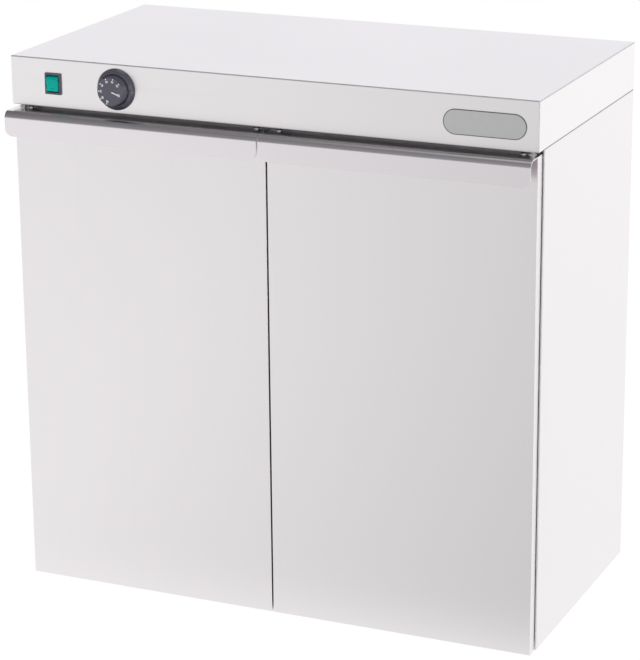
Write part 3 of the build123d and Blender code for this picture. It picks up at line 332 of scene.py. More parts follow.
def softCorners(outline, radii, steps=4, closed=False):
    # swaps each corner of a flat outline for a short arc
    result = []
    count = len(outline)
    for i, (corner, radius) in enumerate(zip(outline, radii)):
        here = Vector(corner)
        if radius <= 0 or (not closed and i in (0, count - 1)):
            result.append(tuple(here))
            continue
        toBefore = (Vector(outline[i - 1]) - here).normalized()
        toAfter = (Vector(outline[(i + 1) % count]) - here).normalized()
        half = toBefore.angle(toAfter) / 2
        bisector = (toBefore + toAfter).normalized()
        centre = here + bisector * (radius / sin(half))
        start = here + toBefore * (radius / tan(half)) - centre
        end = here + toAfter * (radius / tan(half)) - centre
        for step in range(steps + 1):
            share = step / steps
            sweep = pi - 2 * half
            first = sin((1 - share) * sweep) / sin(sweep)
            second = sin(share * sweep) / sin(sweep)
            result.append(tuple(centre + start * first + end * second))
    return result


def turned(name, profile, centre, steps=96):
    # profile of (radius, y) about an axis along Y through centre (x, z)
    corners, rings, faces = [], [], []
    for radius, y in profile:
        if radius < 1e-6:
            rings.append([len(corners)])
            corners.append((centre[0], y, centre[1]))
            continue
        rings.append(list(range(len(corners), len(corners) + steps)))
        for step in range(steps):
            angle = 2 * pi * step / steps
            corners.append((centre[0] + radius * cos(angle), y, centre[1] + radius * sin(angle)))
    for first, second in zip(rings, rings[1:]):
        for step in range(steps):
            after = (step + 1) % steps
            quad = [first[step % len(first)], first[after % len(first)],
                    second[after % len(second)], second[step % len(second)]]
            faces.append([v for k, v in enumerate(quad) if v not in quad[:k]])
    return facing(name, corners, faces)


def rodProfile(radius, start, end):
    return [(0, start), (radius, start), (radius, end), (0, end)]


def bandProfile(inner, outer, start, end):
    return [(inner, start), (outer, start), (outer, end), (inner, end), (inner, start)]


def roundedRectangle(halfWidth, halfHeight, radius, steps=6):
    corners = [(halfWidth, halfHeight), (-halfWidth, halfHeight), (-halfWidth, -halfHeight),
               (halfWidth, -halfHeight)]
    return softCorners(corners, [radius] * 4, steps, closed=True)


def lofted(name, loops, centre):
    # each loop is (flat outline, y); all have as many points, and the two end loops are filled
    corners, faces = [], []
    count = len(loops[0][0])
    for outline, y in loops:
        corners += [(centre[0] + x, y, centre[1] + z) for x, z in outline]
    for level in range(len(loops) - 1):
        for k in range(count):
            after = (k + 1) % count
            low, high = level * count, (level + 1) * count
            faces.append([low + k, low + after, high + after, high + k])
    faces.append(list(range(count)))
    faces.append(list(range(len(corners) - count, len(corners))))
    return facing(name, corners, faces)


def baked(obj, *tools):
    # the evaluated shape as a plain mesh, and the working objects removed
    graph = bpy.context.evaluated_depsgraph_get()
    mesh = bpy.data.meshes.new_from_object(obj.evaluated_get(graph), depsgraph=graph)
    name = obj.name
    for used in (obj, *tools):
        bpy.data.objects.remove(used)
    mesh.name = name
    return mesh


def workingObject(name, mesh):
    obj = bpy.data.objects.new(name, mesh)
    bpy.context.scene.collection.objects.link(obj)
    return obj


def modified(obj, kind, **settings):
    modifier = obj.modifiers.new(kind.capitalize(), kind)
    for key, value in settings.items():
        setattr(modifier, key, value)


def painted(mesh, material):
    mesh.materials.clear()
    mesh.materials.append(material)
    mesh.polygons.foreach_set("material_index", [0] * len(mesh.polygons))
    return mesh


def piece(name, mesh, body, slot, finish=None, stands=()):
    weighed = workingObject(name, mesh)
    modified(weighed, "WEIGHTED_NORMAL", keep_sharp=True)  # flat faces stay flat beside their soft edges
    mesh = baked(weighed)
    obj = workingObject(name, mesh)
    if not mesh.materials:
        mesh.materials.append(finish or finishes[slot])
    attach(obj, body)
    if stands:
        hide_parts(*stands)
    return obj


def joined(name, meshes):
    # several plain meshes as one, their materials kept
    whole = bpy.data.meshes.new(name)
    shape = bmesh.new()
    for mesh in meshes:
        for material in mesh.materials:
            if material.name not in whole.materials:
                whole.materials.append(material)
        before = len(shape.faces)
        shape.from_mesh(mesh)
        shape.faces.ensure_lookup_table()
        for face in shape.faces[before:]:
            if mesh.materials:
                face.material_index = whole.materials.find(mesh.materials[face.material_index].name)
    shape.to_mesh(whole)
    shape.free()
    return whole


# geometry nodes

class NodeTree(Sheet):
    def __init__(self, name, inputs):
        super().__init__(bpy.data.node_groups.new(name, "GeometryNodeTree"))
        interface = self.tree.interface
        self.sockets = {}
        for label, kind in inputs.items():
            self.sockets[label] = interface.new_socket(name=label, in_out="INPUT", socket_type=kind).identifier
        interface.new_socket(name="Geometry", in_out="OUTPUT", socket_type="NodeSocketGeometry")
        self.entry = self.tree.nodes.new("NodeGroupInput")
        self.exit = self.tree.nodes.new("NodeGroupOutput")

    def value(self, label):
        return Wire(self, self.entry.outputs[label])

    def finish(self, geometry):
        real = self.node("GeometryNodeRealizeInstances", {0: geometry})
        coated = self.node("GeometryNodeSetMaterial", {"Geometry": real, "Material": self.value("Material")})
        self.feed(self.exit.inputs[0], coated)

    def grow(self, name, base, values):
        # runs the tree on a base mesh with these inputs and returns a plain mesh
        obj = workingObject(name, base)
        modifier = obj.modifiers.new("grow", "NODES")
        modifier.node_group = self.tree
        for label, value in values.items():
            modifier[self.sockets[label]] = value
        return painted(baked(obj), values["Material"])  # drops the empty slot that copies bring


# copies of one object on a set of points, each turned the same way
repeatTree = NodeTree("repeatOnPoints", {"Geometry": "NodeSocketGeometry", "Copy": "NodeSocketObject",
                                         "Turn": "NodeSocketVector", "Material": "NodeSocketMaterial"})
copyShape = repeatTree.node("GeometryNodeObjectInfo", {"Object": repeatTree.value("Copy")}, output="Geometry")
repeatTree.finish(repeatTree.node("GeometryNodeInstanceOnPoints", {
    "Points": repeatTree.value("Geometry"), "Instance": copyShape, "Rotation": repeatTree.value("Turn")}))


def copied(name, mesh, places, material, turn=(0, 0, 0)):
    # one mesh from copies of another
    copy = workingObject(name + "Copy", mesh)
    grown = repeatTree.grow(name, plainMesh("places", places), {"Copy": copy, "Turn": turn, "Material": material})
    bpy.data.objects.remove(copy)
    return grown


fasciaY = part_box("top_cap")[0].y


# temperature dial: fixed ring, turning knob, printed scale

dial = {"centre": (-0.216, 0.7293), "faceY": fasciaY - 0.0174, "backY": fasciaY - 0.0025, "faceRadius": 0.0188,
        "tipRadius": 0.0193, "baseRadius": 0.0212, "wall": 0.002, "edge": 0.0006, "hubRadius": 0.0065,
        "hubEndY": fasciaY - 0.0040, "shaftRadius": 0.00305,
        "ringRadius": 0.028, "ringRim": 0.0012, "ringHeight": 0.0066, "ringLip": 0.0006, "ringInner": 0.0217,
        "ringFloor": 0.002, "ringHole": 0.0054, "ringShoulder": (0.02573, 0.0041),
        "pointer": ((0.0228, 0.0061), (0.0257, 0.0039), (0.0274, 0.0018)), "pointerHalves": (0.0005, 0.00025),
        "pointerLift": 0.0005,
        "firstAngle": 40.0, "stepAngle": 35.2, "readings": ("30", "40", "50", "60", "70", "80", "90"),
        "dotRadius": 0.0172, "dotSize": 0.0008, "digitRadius": 0.0137, "digitHeight": 0.0025,
        "zeroAngle": -17.6, "lineFrom": 0.0018, "lineTo": 0.0116, "lineWidth": 0.0012, "zeroSize": 0.0017,
        "printDepth": 0.00004}


def makeRing(look):
    outer, inner, lip, hole, (shoulder, drop) = pick(look, "ringRadius ringInner ringLip ringHole ringShoulder")
    y, rim, top, floor = fasciaY, *(fasciaY - rise for rise in pick(look, "ringRim ringHeight ringFloor"))
    outline = [(hole, y), (outer, y), (outer, rim), (shoulder, y - drop), (inner + lip, top), (inner, top),
               (inner, floor), (hole, floor), (hole, y)]
    profile = softCorners(outline, [0, 0.0001, 0.0005, 0.008, 0.00035, 0.0002, 0.0003, 0, 0])
    ring = smoothed(turned("dialRing", profile, look["centre"]), 40)
    # raised pointer at the top of the sloping rim
    (x, z), (wide, narrow), lift = pick(look, "centre pointerHalves pointerLift")
    ridge = [(x + across, y - drop, z + radius) for radius, base in look["pointer"]
             for across, drop in ((-wide, base), (wide, base), (narrow, base + lift), (-narrow, base + lift))]
    faces = [[row + k, row + (k + 1) % 4, row + (k + 1) % 4 + 4, row + k + 4] for row in (0, 4) for k in range(4)]
    faces += [[0, 1, 2, 3], [8, 9, 10, 11]]
    return joined("dialRing", [ring, facing("dialPointer", ridge, faces)])


def makeKnob(look):
    face, back, wall, end = pick(look, "faceY backY wall hubEndY")
    front, tip, base, hub, shaft = pick(look, "faceRadius tipRadius baseRadius hubRadius shaftRadius")
    outline = [(0, face), (front, face), (tip, face + look["edge"]), (base, back), (base - wall, back),
               (tip - wall, face + wall), (hub, face + wall), (hub, end), (shaft, end), (shaft, face + wall),
               (0, face + wall)]
    profile = softCorners(outline, [0, 0.0005, 0.0005, 0.0004, 0.0004, 0.001, 0.0005, 0.0003, 0, 0, 0])
    return smoothed(turned("dialKnob", profile, look["centre"]), 40)


def printedText(text, height, place, turn, depth):
    words = bpy.data.curves.new("digits", "FONT")
    words.body = text
    words.size = height / 0.7  # a digit is 0.7 of the font's size
    words.align_x = words.align_y = "CENTER"
    words.offset = height * 0.035  # a little bolder
    words.extrude = depth / 2
    words.resolution_u = 4
    mesh = baked(workingObject("digits", words))
    mesh.materials.clear()
    # text lies in XY: stand it up to face the front, then turn it about its own middle
    mesh.transform(Matrix.Translation(place) @ Matrix.Rotation(turn, 4, "Y") @ Matrix.Rotation(pi / 2, 4, "X"))
    return mesh


def makeScale(look, paint):
    x, z = look["centre"]
    y = look["faceY"] - look["printDepth"] / 2

    def at(angle, radius):
        return (x + radius * cos(radians(angle)), y, z + radius * sin(radians(angle)))

    angles = [look["firstAngle"] + i * look["stepAngle"] for i in range(len(look["readings"]))]
    size, depth = look["zeroSize"], look["printDepth"] / 2
    dot = turned("dot", rodProfile(look["dotSize"], -depth, depth), (0, 0), 20)
    marks = [copied("scaleDots", dot, [at(angle, look["dotRadius"]) for angle in angles], paint)]
    for reading, angle in zip(look["readings"], angles):
        marks.append(printedText(reading, look["digitHeight"], at(angle, look["digitRadius"]),
                                 radians(90 - angle), look["printDepth"]))
    half = look["lineWidth"] / 2
    bar = roundedRectangle((look["lineTo"] - look["lineFrom"]) / 2, half, half * 0.98)
    line = lofted("zeroLine", [(bar, -depth), (bar, depth)], (0, 0))
    middle = at(look["zeroAngle"], (look["lineFrom"] + look["lineTo"]) / 2)
    line.transform(Matrix.Translation(middle) @ Matrix.Rotation(-radians(look["zeroAngle"]), 4, "Y"))
    zero = turned("zeroRing", bandProfile(size * 0.6, size, -depth, depth), (0, 0), 24)
    zero.transform(Matrix.Translation(at(look["zeroAngle"], look["lineTo"] + size * 0.95)))
    return painted(joined("dialScale", marks + [line, zero]), paint)


dialPaint = mouldedPlastic("dialPaint", {"colour": (0.90, 0.90, 0.92), "rough": 0.45, "pebble": 2600.0, "bump": 0.03})
ringBlack = mouldedPlastic("glossyBlack", {"colour": (0.062, 0.060, 0.078), "rough": 0.27, "pebble": 1500.0,
                                           "bump": 0.04, "coat": 0.8})
piece("dialRing", makeRing(dial), "cabinet", "control_black", ringBlack, stands=["knob_bezel"])
piece("dialKnob", makeKnob(dial), "knob", "control_black", stands=["control_knob"])
piece("dialScale", makeScale(dial, dialPaint), "knob", "terminal_white", dialPaint)
print("temperature dial made")


# mains rocker switch

rockerSwitch = {"centre": (-0.3106, 0.7293), "frame": (0.012, 0.0145), "corner": 0.0008, "height": 0.0025,
                "edge": 0.0006, "opening": (0.00875, 0.01125), "openingCorner": 0.0006, "pocket": 0.0144,
                "case": (0.00995, 0.01245), "depth": 0.024, "inset": 0.0009,
                "lens": (0.0085, 0.0103), "pivotBehind": 0.005, "tilt": 7.0, "proud": 0.003, "ridge": 0.0082,
                "dish": 0.0012, "dishRows": ((0, 1), (0.45, 0.78), (0.8, 0.25)), "slope": 0.0054, "rise": 0.0004,
                "behindPivot": 0.0015, "pinRadius": 0.0012,
                "pinLength": 0.0012, "sides": ((0.0, 0.0004), (0.0002, 0.00012), (0.0005, 0.0)), "markBack": 0.0012,
                "onMark": {"half": (0.00035, 0.0013), "corner": 0.0003, "z": 0.0046, "front": 0.0007},
                "offMark": {"radii": (0.0012, 0.0018), "z": -0.0058, "front": 0.0004}}


def makeSwitchFrame(look):
    (w, h), (ow, oh), (cw, ch) = pick(look, "frame opening case")
    corner, edge, inset, height = pick(look, "corner edge inset height")

    def loop(halfWidth, halfHeight, radius, depth):
        return roundedRectangle(halfWidth, halfHeight, radius), fasciaY + depth

    loops = [loop(cw, ch, 0.0005, look["depth"]), loop(cw, ch, 0.0005, 0), loop(w, h, corner, 0),
             loop(w, h, corner, edge - height), loop(w - edge * 0.3, h - edge * 0.3, corner, edge * 0.3 - height),
             loop(w - edge, h - edge, corner * 0.8, -height), loop(ow + inset, oh + inset, 0.0008, -height),
             loop(ow + inset * 0.6, oh + inset * 0.6, 0.0008, inset * 0.35 - height),
             loop(ow, oh, look["openingCorner"], inset - height), loop(ow, oh, look["openingCorner"], look["pocket"])]
    return smoothed(lofted("switchFrame", loops, look["centre"]), 30)


def makeRockerLens(look):
    w, h = look["lens"]
    face = -sum(pick(look, "height pivotBehind proud"))
    ridge, dish = pick(look, "ridge dish")
    outline = [(ridge * share, face + dish * sunk) for share, sunk in look["dishRows"]]
    outline += [(ridge, face - look["rise"]), (h, face + look["slope"]), (h, look["behindPivot"])]
    half = softCorners(outline, [0, 0.004, 0.003, 0.0005, 0.0004, 0], 5)
    side = [(y, z) for z, y in half] + [(y, -z) for z, y in reversed(half[1:])]
    widths = [(inset - w, lift) for inset, lift in look["sides"]]
    widths += [(-x, lift) for x, lift in reversed(widths)]
    loops = [([(y + (lift if y < 0 else 0), z * (1 - lift / h)) for y, z in side], x) for x, lift in widths]
    reach = w + look["pinLength"]
    pin = turned("rockerPin", rodProfile(look["pinRadius"], -reach, reach), (0, 0), 20)
    lens = joined("rockerLens", [lofted("rockerLens", loops, (0, 0)), pin])
    lens.transform(Matrix.Rotation(pi / 2, 4, "Z"))
    return smoothed(lens, 30)


def makeRockerMarks(look):
    # moulded I and O, a shade deeper than the lens
    face = -sum(pick(look, "height pivotBehind proud"))
    back, (on, off) = face + look["markBack"], pick(look, "onMark offMark")
    bar = roundedRectangle(*on["half"], on["corner"])
    one = lofted("markOn", [(bar, face + on["front"]), (bar, back)], (0, on["z"]))
    ring = turned("markOff", bandProfile(*off["radii"], face + off["front"], back), (0, off["z"]), 28)
    return joined("rockerMarks", [one, ring])


def tipped(mesh, look):
    x, z = look["centre"]
    mesh.transform(Matrix.Translation((x, fasciaY + look["pivotBehind"], z)) @
                   Matrix.Rotation(radians(look["tilt"]), 4, "X"))
    return mesh


markGreen = mouldedPlastic("deepGreen", {"colour": (0.002, 0.13, 0.11), "rough": 0.35, "pebble": 900.0, "bump": 0.03})
piece("switchFrame", makeSwitchFrame(rockerSwitch), "cabinet", "control_black", stands=["switch_housing"])
piece("rockerLens", tipped(makeRockerLens(rockerSwitch), rockerSwitch), "rocker", "rocker_green",
      stands=["switch_rocker"])
piece("rockerMarks", tipped(makeRockerMarks(rockerSwitch), rockerSwitch), "rocker", "rocker_green", markGreen)
print("rocker switch made")


# bare badge plate

badge = {"centre": (0.3026, 0.7275), "half": (0.05575, 0.0165), "thickness": 0.001, "edge": 0.0003, "rim": 0.0011,
         "bevel": 0.0002, "recess": 0.0003}


def makeBadge(look, rimFinish):
    w, h = look["half"]
    top, edge, rim = fasciaY - look["thickness"], look["edge"], look["rim"]
    sunk = top + look["recess"]

    def loop(inset, depth):
        return roundedRectangle(w - inset, h - inset, (h - inset) * 0.999, 20), depth

    loops = [loop(0, fasciaY), loop(0, top + edge), loop(edge * 0.4, top + edge / 3), loop(edge, top),
             loop(rim - look["bevel"], top), loop(rim, sunk), loop(rim + edge, sunk)]
    mesh = smoothed(lofted("badgePlate", loops, look["centre"]), 30)
    mesh.materials.append(finishes["badge_metal"])
    mesh.materials.append(rimFinish)
    for polygon in mesh.polygons:
        flat = all(abs(mesh.vertices[v].co.y - sunk) < 1e-6 for v in polygon.vertices)
        polygon.material_index = 0 if flat else 1
    return mesh


badgeRim = polished("badgeRim", {"colour": (0.20, 0.20, 0.20), "rough": 0.35})
piece("badgePlate", makeBadge(badge, badgeRim), "cabinet", "badge_metal", stands=["badge_plate"])
print("badge plate made")


# bent handle strips on top of the doors

doorSides = ((-1, "left_door"), (1, "right_door"))

handleStrip = {"ends": (0.001, 0.373), "backY": -0.1731, "frontY": -0.217, "topZ": 0.6918, "bottomZ": 0.658,
               "bend": 0.0095, "sheet": 0.0015, "corner": 0.011, "softEdge": 0.00035,
               "sleeve": (0.363, -0.1815, 0.0042, 0.01), "steps": (6, 20, 4, 12),
               "across": [0, 0.01, 0.03, 0.06] + [0.1 + 0.8 * i / 16 for i in range(17)] + [0.94, 0.97, 0.99, 1]}


def makeHandle(look, side):
    (start, stop), bend, corner, backY, frontY, topZ, bottomZ = pick(
        look, "ends bend corner backY frontY topZ bottomZ")
    flat = backY - (frontY + bend)
    arc = bend * pi / 2
    drop = topZ - bend - bottomZ

    def onPath(run):
        # how far along the unrolled strip, to its bent place (y, z)
        if run < flat:
            return backY - run, topZ
        if run < flat + arc:
            angle = (run - flat) / bend
            return frontY + bend - bend * sin(angle), topZ - bend + bend * cos(angle)
        return frontY, topZ - bend - (run - flat - arc)

    flatSteps, bendSteps, dropSteps, endSteps = look["steps"]
    runs = [flat * i / flatSteps for i in range(flatSteps)] + [flat + arc * i / bendSteps for i in range(bendSteps)]
    runs += [flat + arc + (drop - corner) * i / dropSteps for i in range(dropSteps)]
    length = flat + arc + drop
    runs += [length - corner * (1 - sin(pi / 2 * i / endSteps)) for i in range(endSteps + 1)]
    corners, faces = [], []
    for run in runs:
        y, z = onPath(run)
        reach = max(0.0, corner - (length - run))
        cut = corner - sqrt(max(0.0, corner * corner - reach * reach))
        for share in look["across"]:
            corners.append((side * (start + cut + (stop - start - 2 * cut) * share), y, z))
    width = len(look["across"])
    for row in range(len(runs) - 1):
        for k in range(width - 1):
            a = row * width + k
            quad = [a, a + 1, a + 1 + width, a + width]
            faces.append(quad if side < 0 else quad[::-1])
    obj = workingObject("strip", plainMesh("strip", corners, faces))
    modified(obj, "SOLIDIFY", thickness=look["sheet"], offset=-1.0, use_even_offset=True)
    x, y, radius, reach = look["sleeve"]
    drill = workingObject("drill", turned("drill", rodProfile(radius, -reach, reach), (0, 0), 48))
    drill.data.transform(Matrix.Translation((side * x, y, topZ)) @ Matrix.Rotation(pi / 2, 4, "X"))
    modified(obj, "BOOLEAN", object=drill, operation="DIFFERENCE", solver="EXACT")
    modified(obj, "BEVEL", width=look["softEdge"], segments=3, limit_method="ANGLE", angle_limit=radians(40))
    return smoothed(baked(obj, drill), 30)


for side, door in doorSides:
    piece(door + "Handle", makeHandle(handleStrip, side), door, "cabinet_steel", finishes["handleStrip"],
          stands=[door + "_handle"])
print("handle strips made")


# cross-recessed screws

screws = {"handle": {"radius": 0.0053, "head": 0.0028, "shank": 0.002, "length": 0.012, "across": (0.016, 0.3515),
                     "y": -0.1815, "z": 0.6918, "turn": 0.3},
          "back": {"radius": 0.0039, "head": 0.0024, "shank": 0.002, "length": 0.004, "y": 0.199, "column": 0.366,
                   "rows": [0.023 + i * (0.6897 - 0.023) / 4 for i in range(5)], "low": (0.125, 0.031)}}
# shares of the head's radius and height
crossHead = {"dome": ((0.62, 0.93), (0.93, 0.5)), "reach": 0.56, "slot": 0.13, "deep": 0.62, "taper": (0.55, 0.8),
             "above": 1.3}


def upright(mesh):
    mesh.transform(Matrix.Rotation(pi / 2, 4, "X"))
    return mesh


def repeated(name, mesh, places, body, slot, node, turn=(0, 0, 0)):
    piece(name, copied(name, mesh, places, finishes[slot], turn), body, slot, stands=[node])


def makeScrew(look):
    radius, head, shank, length = pick(look, "radius head shank length")
    outline = [(0, head), *((radius * out, head * up) for out, up in crossHead["dome"]), (radius, 0), (shank, 0),
               (shank, 0.001 - length), (shank * 0.5, -length), (0, -length)]
    profile = softCorners(outline, [0, head * 0.7, head * 0.35, 0.0002, 0, 0.0002, 0, 0], 5)
    obj = workingObject("screw", upright(smoothed(turned("screw", profile, (0, 0), 40), 45)))
    # tapered cross recess, two bars across each other
    reach, slot, deep, (narrow, thin), above = pick(crossHead, "reach slot deep taper above")
    reach, slot = radius * reach, radius * slot
    signs = ((-1, -1), (1, -1), (1, 1), (-1, 1))
    faces = ((3, 2, 1, 0), (4, 5, 6, 7), (0, 1, 5, 4), (1, 2, 6, 5), (2, 3, 7, 6), (3, 0, 4, 7))
    bars = []
    for turn in (pi / 4, 3 * pi / 4):
        corners = [(sx * reach * narrow, sy * slot * thin, head - head * deep) for sx, sy in signs]
        corners += [(sx * reach, sy * slot, head * above) for sx, sy in signs]
        bars.append(facing("bar", [Matrix.Rotation(turn, 3, "Z") @ Vector(v) for v in corners], faces))
    tool = workingObject("recess", joined("recess", bars))
    modified(obj, "BOOLEAN", object=tool, operation="DIFFERENCE", solver="EXACT", use_self=True)
    return baked(obj, tool)


look = screws["handle"]
handleScrew = makeScrew(look)
for side, door in doorSides:
    places = [(side * x, look["y"], look["z"]) for x in look["across"]]
    repeated(door + "Screws", handleScrew, places, door, "bright_screws", door + "_handle_screws",
             (0, 0, look["turn"] * side))
look = screws["back"]
places = [(side * look["column"], look["y"], z) for side in (-1, 1) for z in look["rows"]]
places += [(side * look["low"][0], look["y"], look["low"][1]) for side in (-1, 1)]
repeated("backScrews", makeScrew(look), places, "cabinet", "bright_screws", "back_panel_screws", (-pi / 2, 0, 0))
print("screws made")


# upper hinge pins, rubber feet, cable gland

hingePin = {"places": [(s * 0.363, -0.1815, 0.0) for s in (-1, 1)], "radius": 0.003, "low": 0.6768, "high": 0.698,
            "collar": 0.0045, "collarLow": 0.6949, "collarHigh": 0.6965}
foot = {"places": [(s * 0.315, y, 0.0) for s in (-1, 1) for y in (-0.131, 0.139)], "height": 0.016, "bottom": 0.014,
        "top": 0.016, "recess": 0.007, "hole": 0.0022, "grooves": (0.0045, 0.0085, 0.0125), "groove": 0.0005}
gland = {"centre": (-0.336, 0.7293), "across": 0.011, "chamfer": 0.0101, "bevel": 0.0003, "dome": 0.0095,
         "thread": 0.008, "threadEnd": 0.1918, "rim": 0.0004, "bore": 0.004, "boreEnd": 0.1924, "flutes": 12,
         "flute": 0.0006, "fluted": (0.0066, 0.0116), "outerY": 0.199, "innerY": 0.1978, "flange": 0.006,
         "nut": -0.004, "length": 0.018, "steps": 96,
         "nose": ((0.0087, 0.0130), (0.0078, 0.0150), (0.0068, 0.0172), (0.0063, 0.0179), (0.0058, 0.018))}


def makePin(look):
    radius, collar, start, low, high, end = pick(look, "radius collar low collarLow collarHigh high")
    outline = [(0, start), (radius, start), (radius, low), (collar, low), (collar, high), (radius, high),
               (radius, end), (0, end)]
    return upright(smoothed(turned("pin", softCorners(outline, [0, 0.0008, 0, 0.0004, 0.0004, 0, 0, 0]), (0, 0), 48)))


def makeFoot(look):
    hole, recess, half, bottom, top, tall = pick(look, "hole recess groove bottom top height")

    def radiusAt(height):
        return bottom + (top - bottom) * height / tall

    outline = [(hole, recess), (recess, recess), (recess, 0), (bottom, 0)]
    radii = [0, 0.0008, 0.0005, 0.0012]
    for height in look["grooves"]:
        outline += [(radiusAt(height - half), height - half), (radiusAt(height) - half, height),
                    (radiusAt(height + half), height + half)]
        radii += [0.0001, 0.0002, 0.0001]
    outline += [(top, tall), (hole, tall), (hole, recess)]
    return upright(smoothed(turned("foot", softCorners(outline, radii + [0.0005, 0, 0]), (0, 0), 64)))


def makeGland(look):
    outer, inner, dome, thread, bore, rim, threadEnd = pick(look, "outerY innerY dome thread bore rim threadEnd")

    def loop(radius, y, sides=0, limit=1.0, flute=0.0):
        points = []
        for step in range(look["steps"]):
            angle = 2 * pi * step / look["steps"]
            reach = radius
            if sides:
                reach = radius * cos(pi / sides) / cos(angle % (2 * pi / sides) - pi / sides)
            reach = min(reach, limit) - flute * (0.5 + 0.5 * cos(look["flutes"] * angle))
            points.append((reach * cos(angle), reach * sin(angle)))
        return points, y

    def sixSided(start, height):
        across, chamfer, bevel = look["across"], look["chamfer"], copysign(look["bevel"], height)
        return [loop(across, start, 6, chamfer), loop(across, start + bevel, 6),
                loop(across, start + height - bevel, 6), loop(across, start + height, 6, chamfer)]

    end = outer + look["length"]
    body = [loop(thread - rim, threadEnd), loop(thread, threadEnd + rim), loop(thread, outer)]
    body += sixSided(outer, look["flange"]) + [loop(dome, outer + look["flange"])]
    body += [loop(dome, outer + rise, flute=look["flute"]) for rise in look["fluted"]]
    body += [loop(radius, outer + rise) for radius, rise in look["nose"]]
    body += [loop(bore + rim, end), loop(bore, end - rim), loop(bore, look["boreEnd"])]
    nut = sixSided(inner, look["nut"])
    return joined("cableGland", [smoothed(lofted(name, loops, look["centre"]), 30)
                                 for name, loops in (("body", body), ("nut", nut))])


repeated("upperHingePins", makePin(hingePin), hingePin["places"], "cabinet", "bright_screws", "upper_hinge_pins")
repeated("rubberFeet", makeFoot(foot), foot["places"], "cabinet", "foot_rubber", "rubber_feet")
piece("cableGland", makeGland(gland), "cabinet", "case_black", stands=["cable_gland"])
print("pins, feet and gland made")


# sheet and moulded parts with their edges broken

softParts = {"top_cap": 0.0003, "back_panel": 0.0003, "base_tray": 0.0003, "top_rail": 0.0003, "bottom_rail": 0.0003,
             "back_liner": 0.0002, "top_liner": 0.0002, "heater_deck": 0.0002, "control_floor": 0.0002,
             "heater_brackets": 0.0002, "lower_hinge_brackets": 0.0004, "catch_magnets": 0.0005,
             "shelf_uprights": 0.0002, "shelf_clips": 0.0002, "terminal_block": 0.0004, "thermostat_body": 0.0004,
             "high_limit_thermostat": 0.0003, "switch_terminals": 0.0001}
softPairs = {"side_panel": 0.0003, "liner": 0.0002, "door_skin": 0.0003, "door_inner_pan": 0.0003,
             "door_bushes": 0.0003, "door_strike_plate": 0.0002}
softParts.update({side + "_" + part: width for part, width in softPairs.items() for side in ("left", "right")})
softEdges = {"merge": 1e-6, "flat": 0.5, "sharp": 50, "smooth": 40, "segments": 2}  # angles in degrees


def softened(node, width, look):
    source = frame["nodes"][node]
    corners = [source.matrix_world @ vertex.co for vertex in source.data.vertices]
    mesh = facing(node, corners, [tuple(polygon.vertices) for polygon in source.data.polygons])
    obj = workingObject(node, cleaned(mesh, look["merge"], look["flat"]))
    modified(obj, "BEVEL", width=width, segments=look["segments"], limit_method="ANGLE",
             angle_limit=radians(look["sharp"]))
    mesh = smoothed(baked(obj), look["smooth"])
    low, high = ([limit(corner[axis] for corner in corners) for axis in range(3)] for limit in (min, max))
    for vertex in mesh.vertices:  # nothing may pass the sheet's own outline
        vertex.co = [min(max(value, low[axis]), high[axis]) for axis, value in enumerate(vertex.co)]
    return mesh


for node, width in softParts.items():
    first, *others = node.split("_")
    name = first + "".join(word.capitalize() for word in others)
    body = first + "_door" if others[0] == "door" else "cabinet"
    finish = finishes["sidePanels" if "side_panel" in node else slotOf[node]]
    piece(name, softened(node, width, softEdges), body, slotOf[node], finish, stands=[node])
print("edges broken on", len(softParts), "parts")


# wire shelves

wireShelf = {"sizes": {"halfWidth": 0.3395, "front": -0.1526, "back": 0.174, "corner": 0.02, "frameRadius": 0.003,
                       "crossRadius": 0.0024, "wireRadius": 0.0016, "pitch": 0.025, "count": 25, "overhang": 0.001,
                       "crossFront": -0.071, "crossBack": 0.079},
             "weld": 0.0004, "levels": {"lower_shelf": 0.256, "upper_shelf": 0.456}}


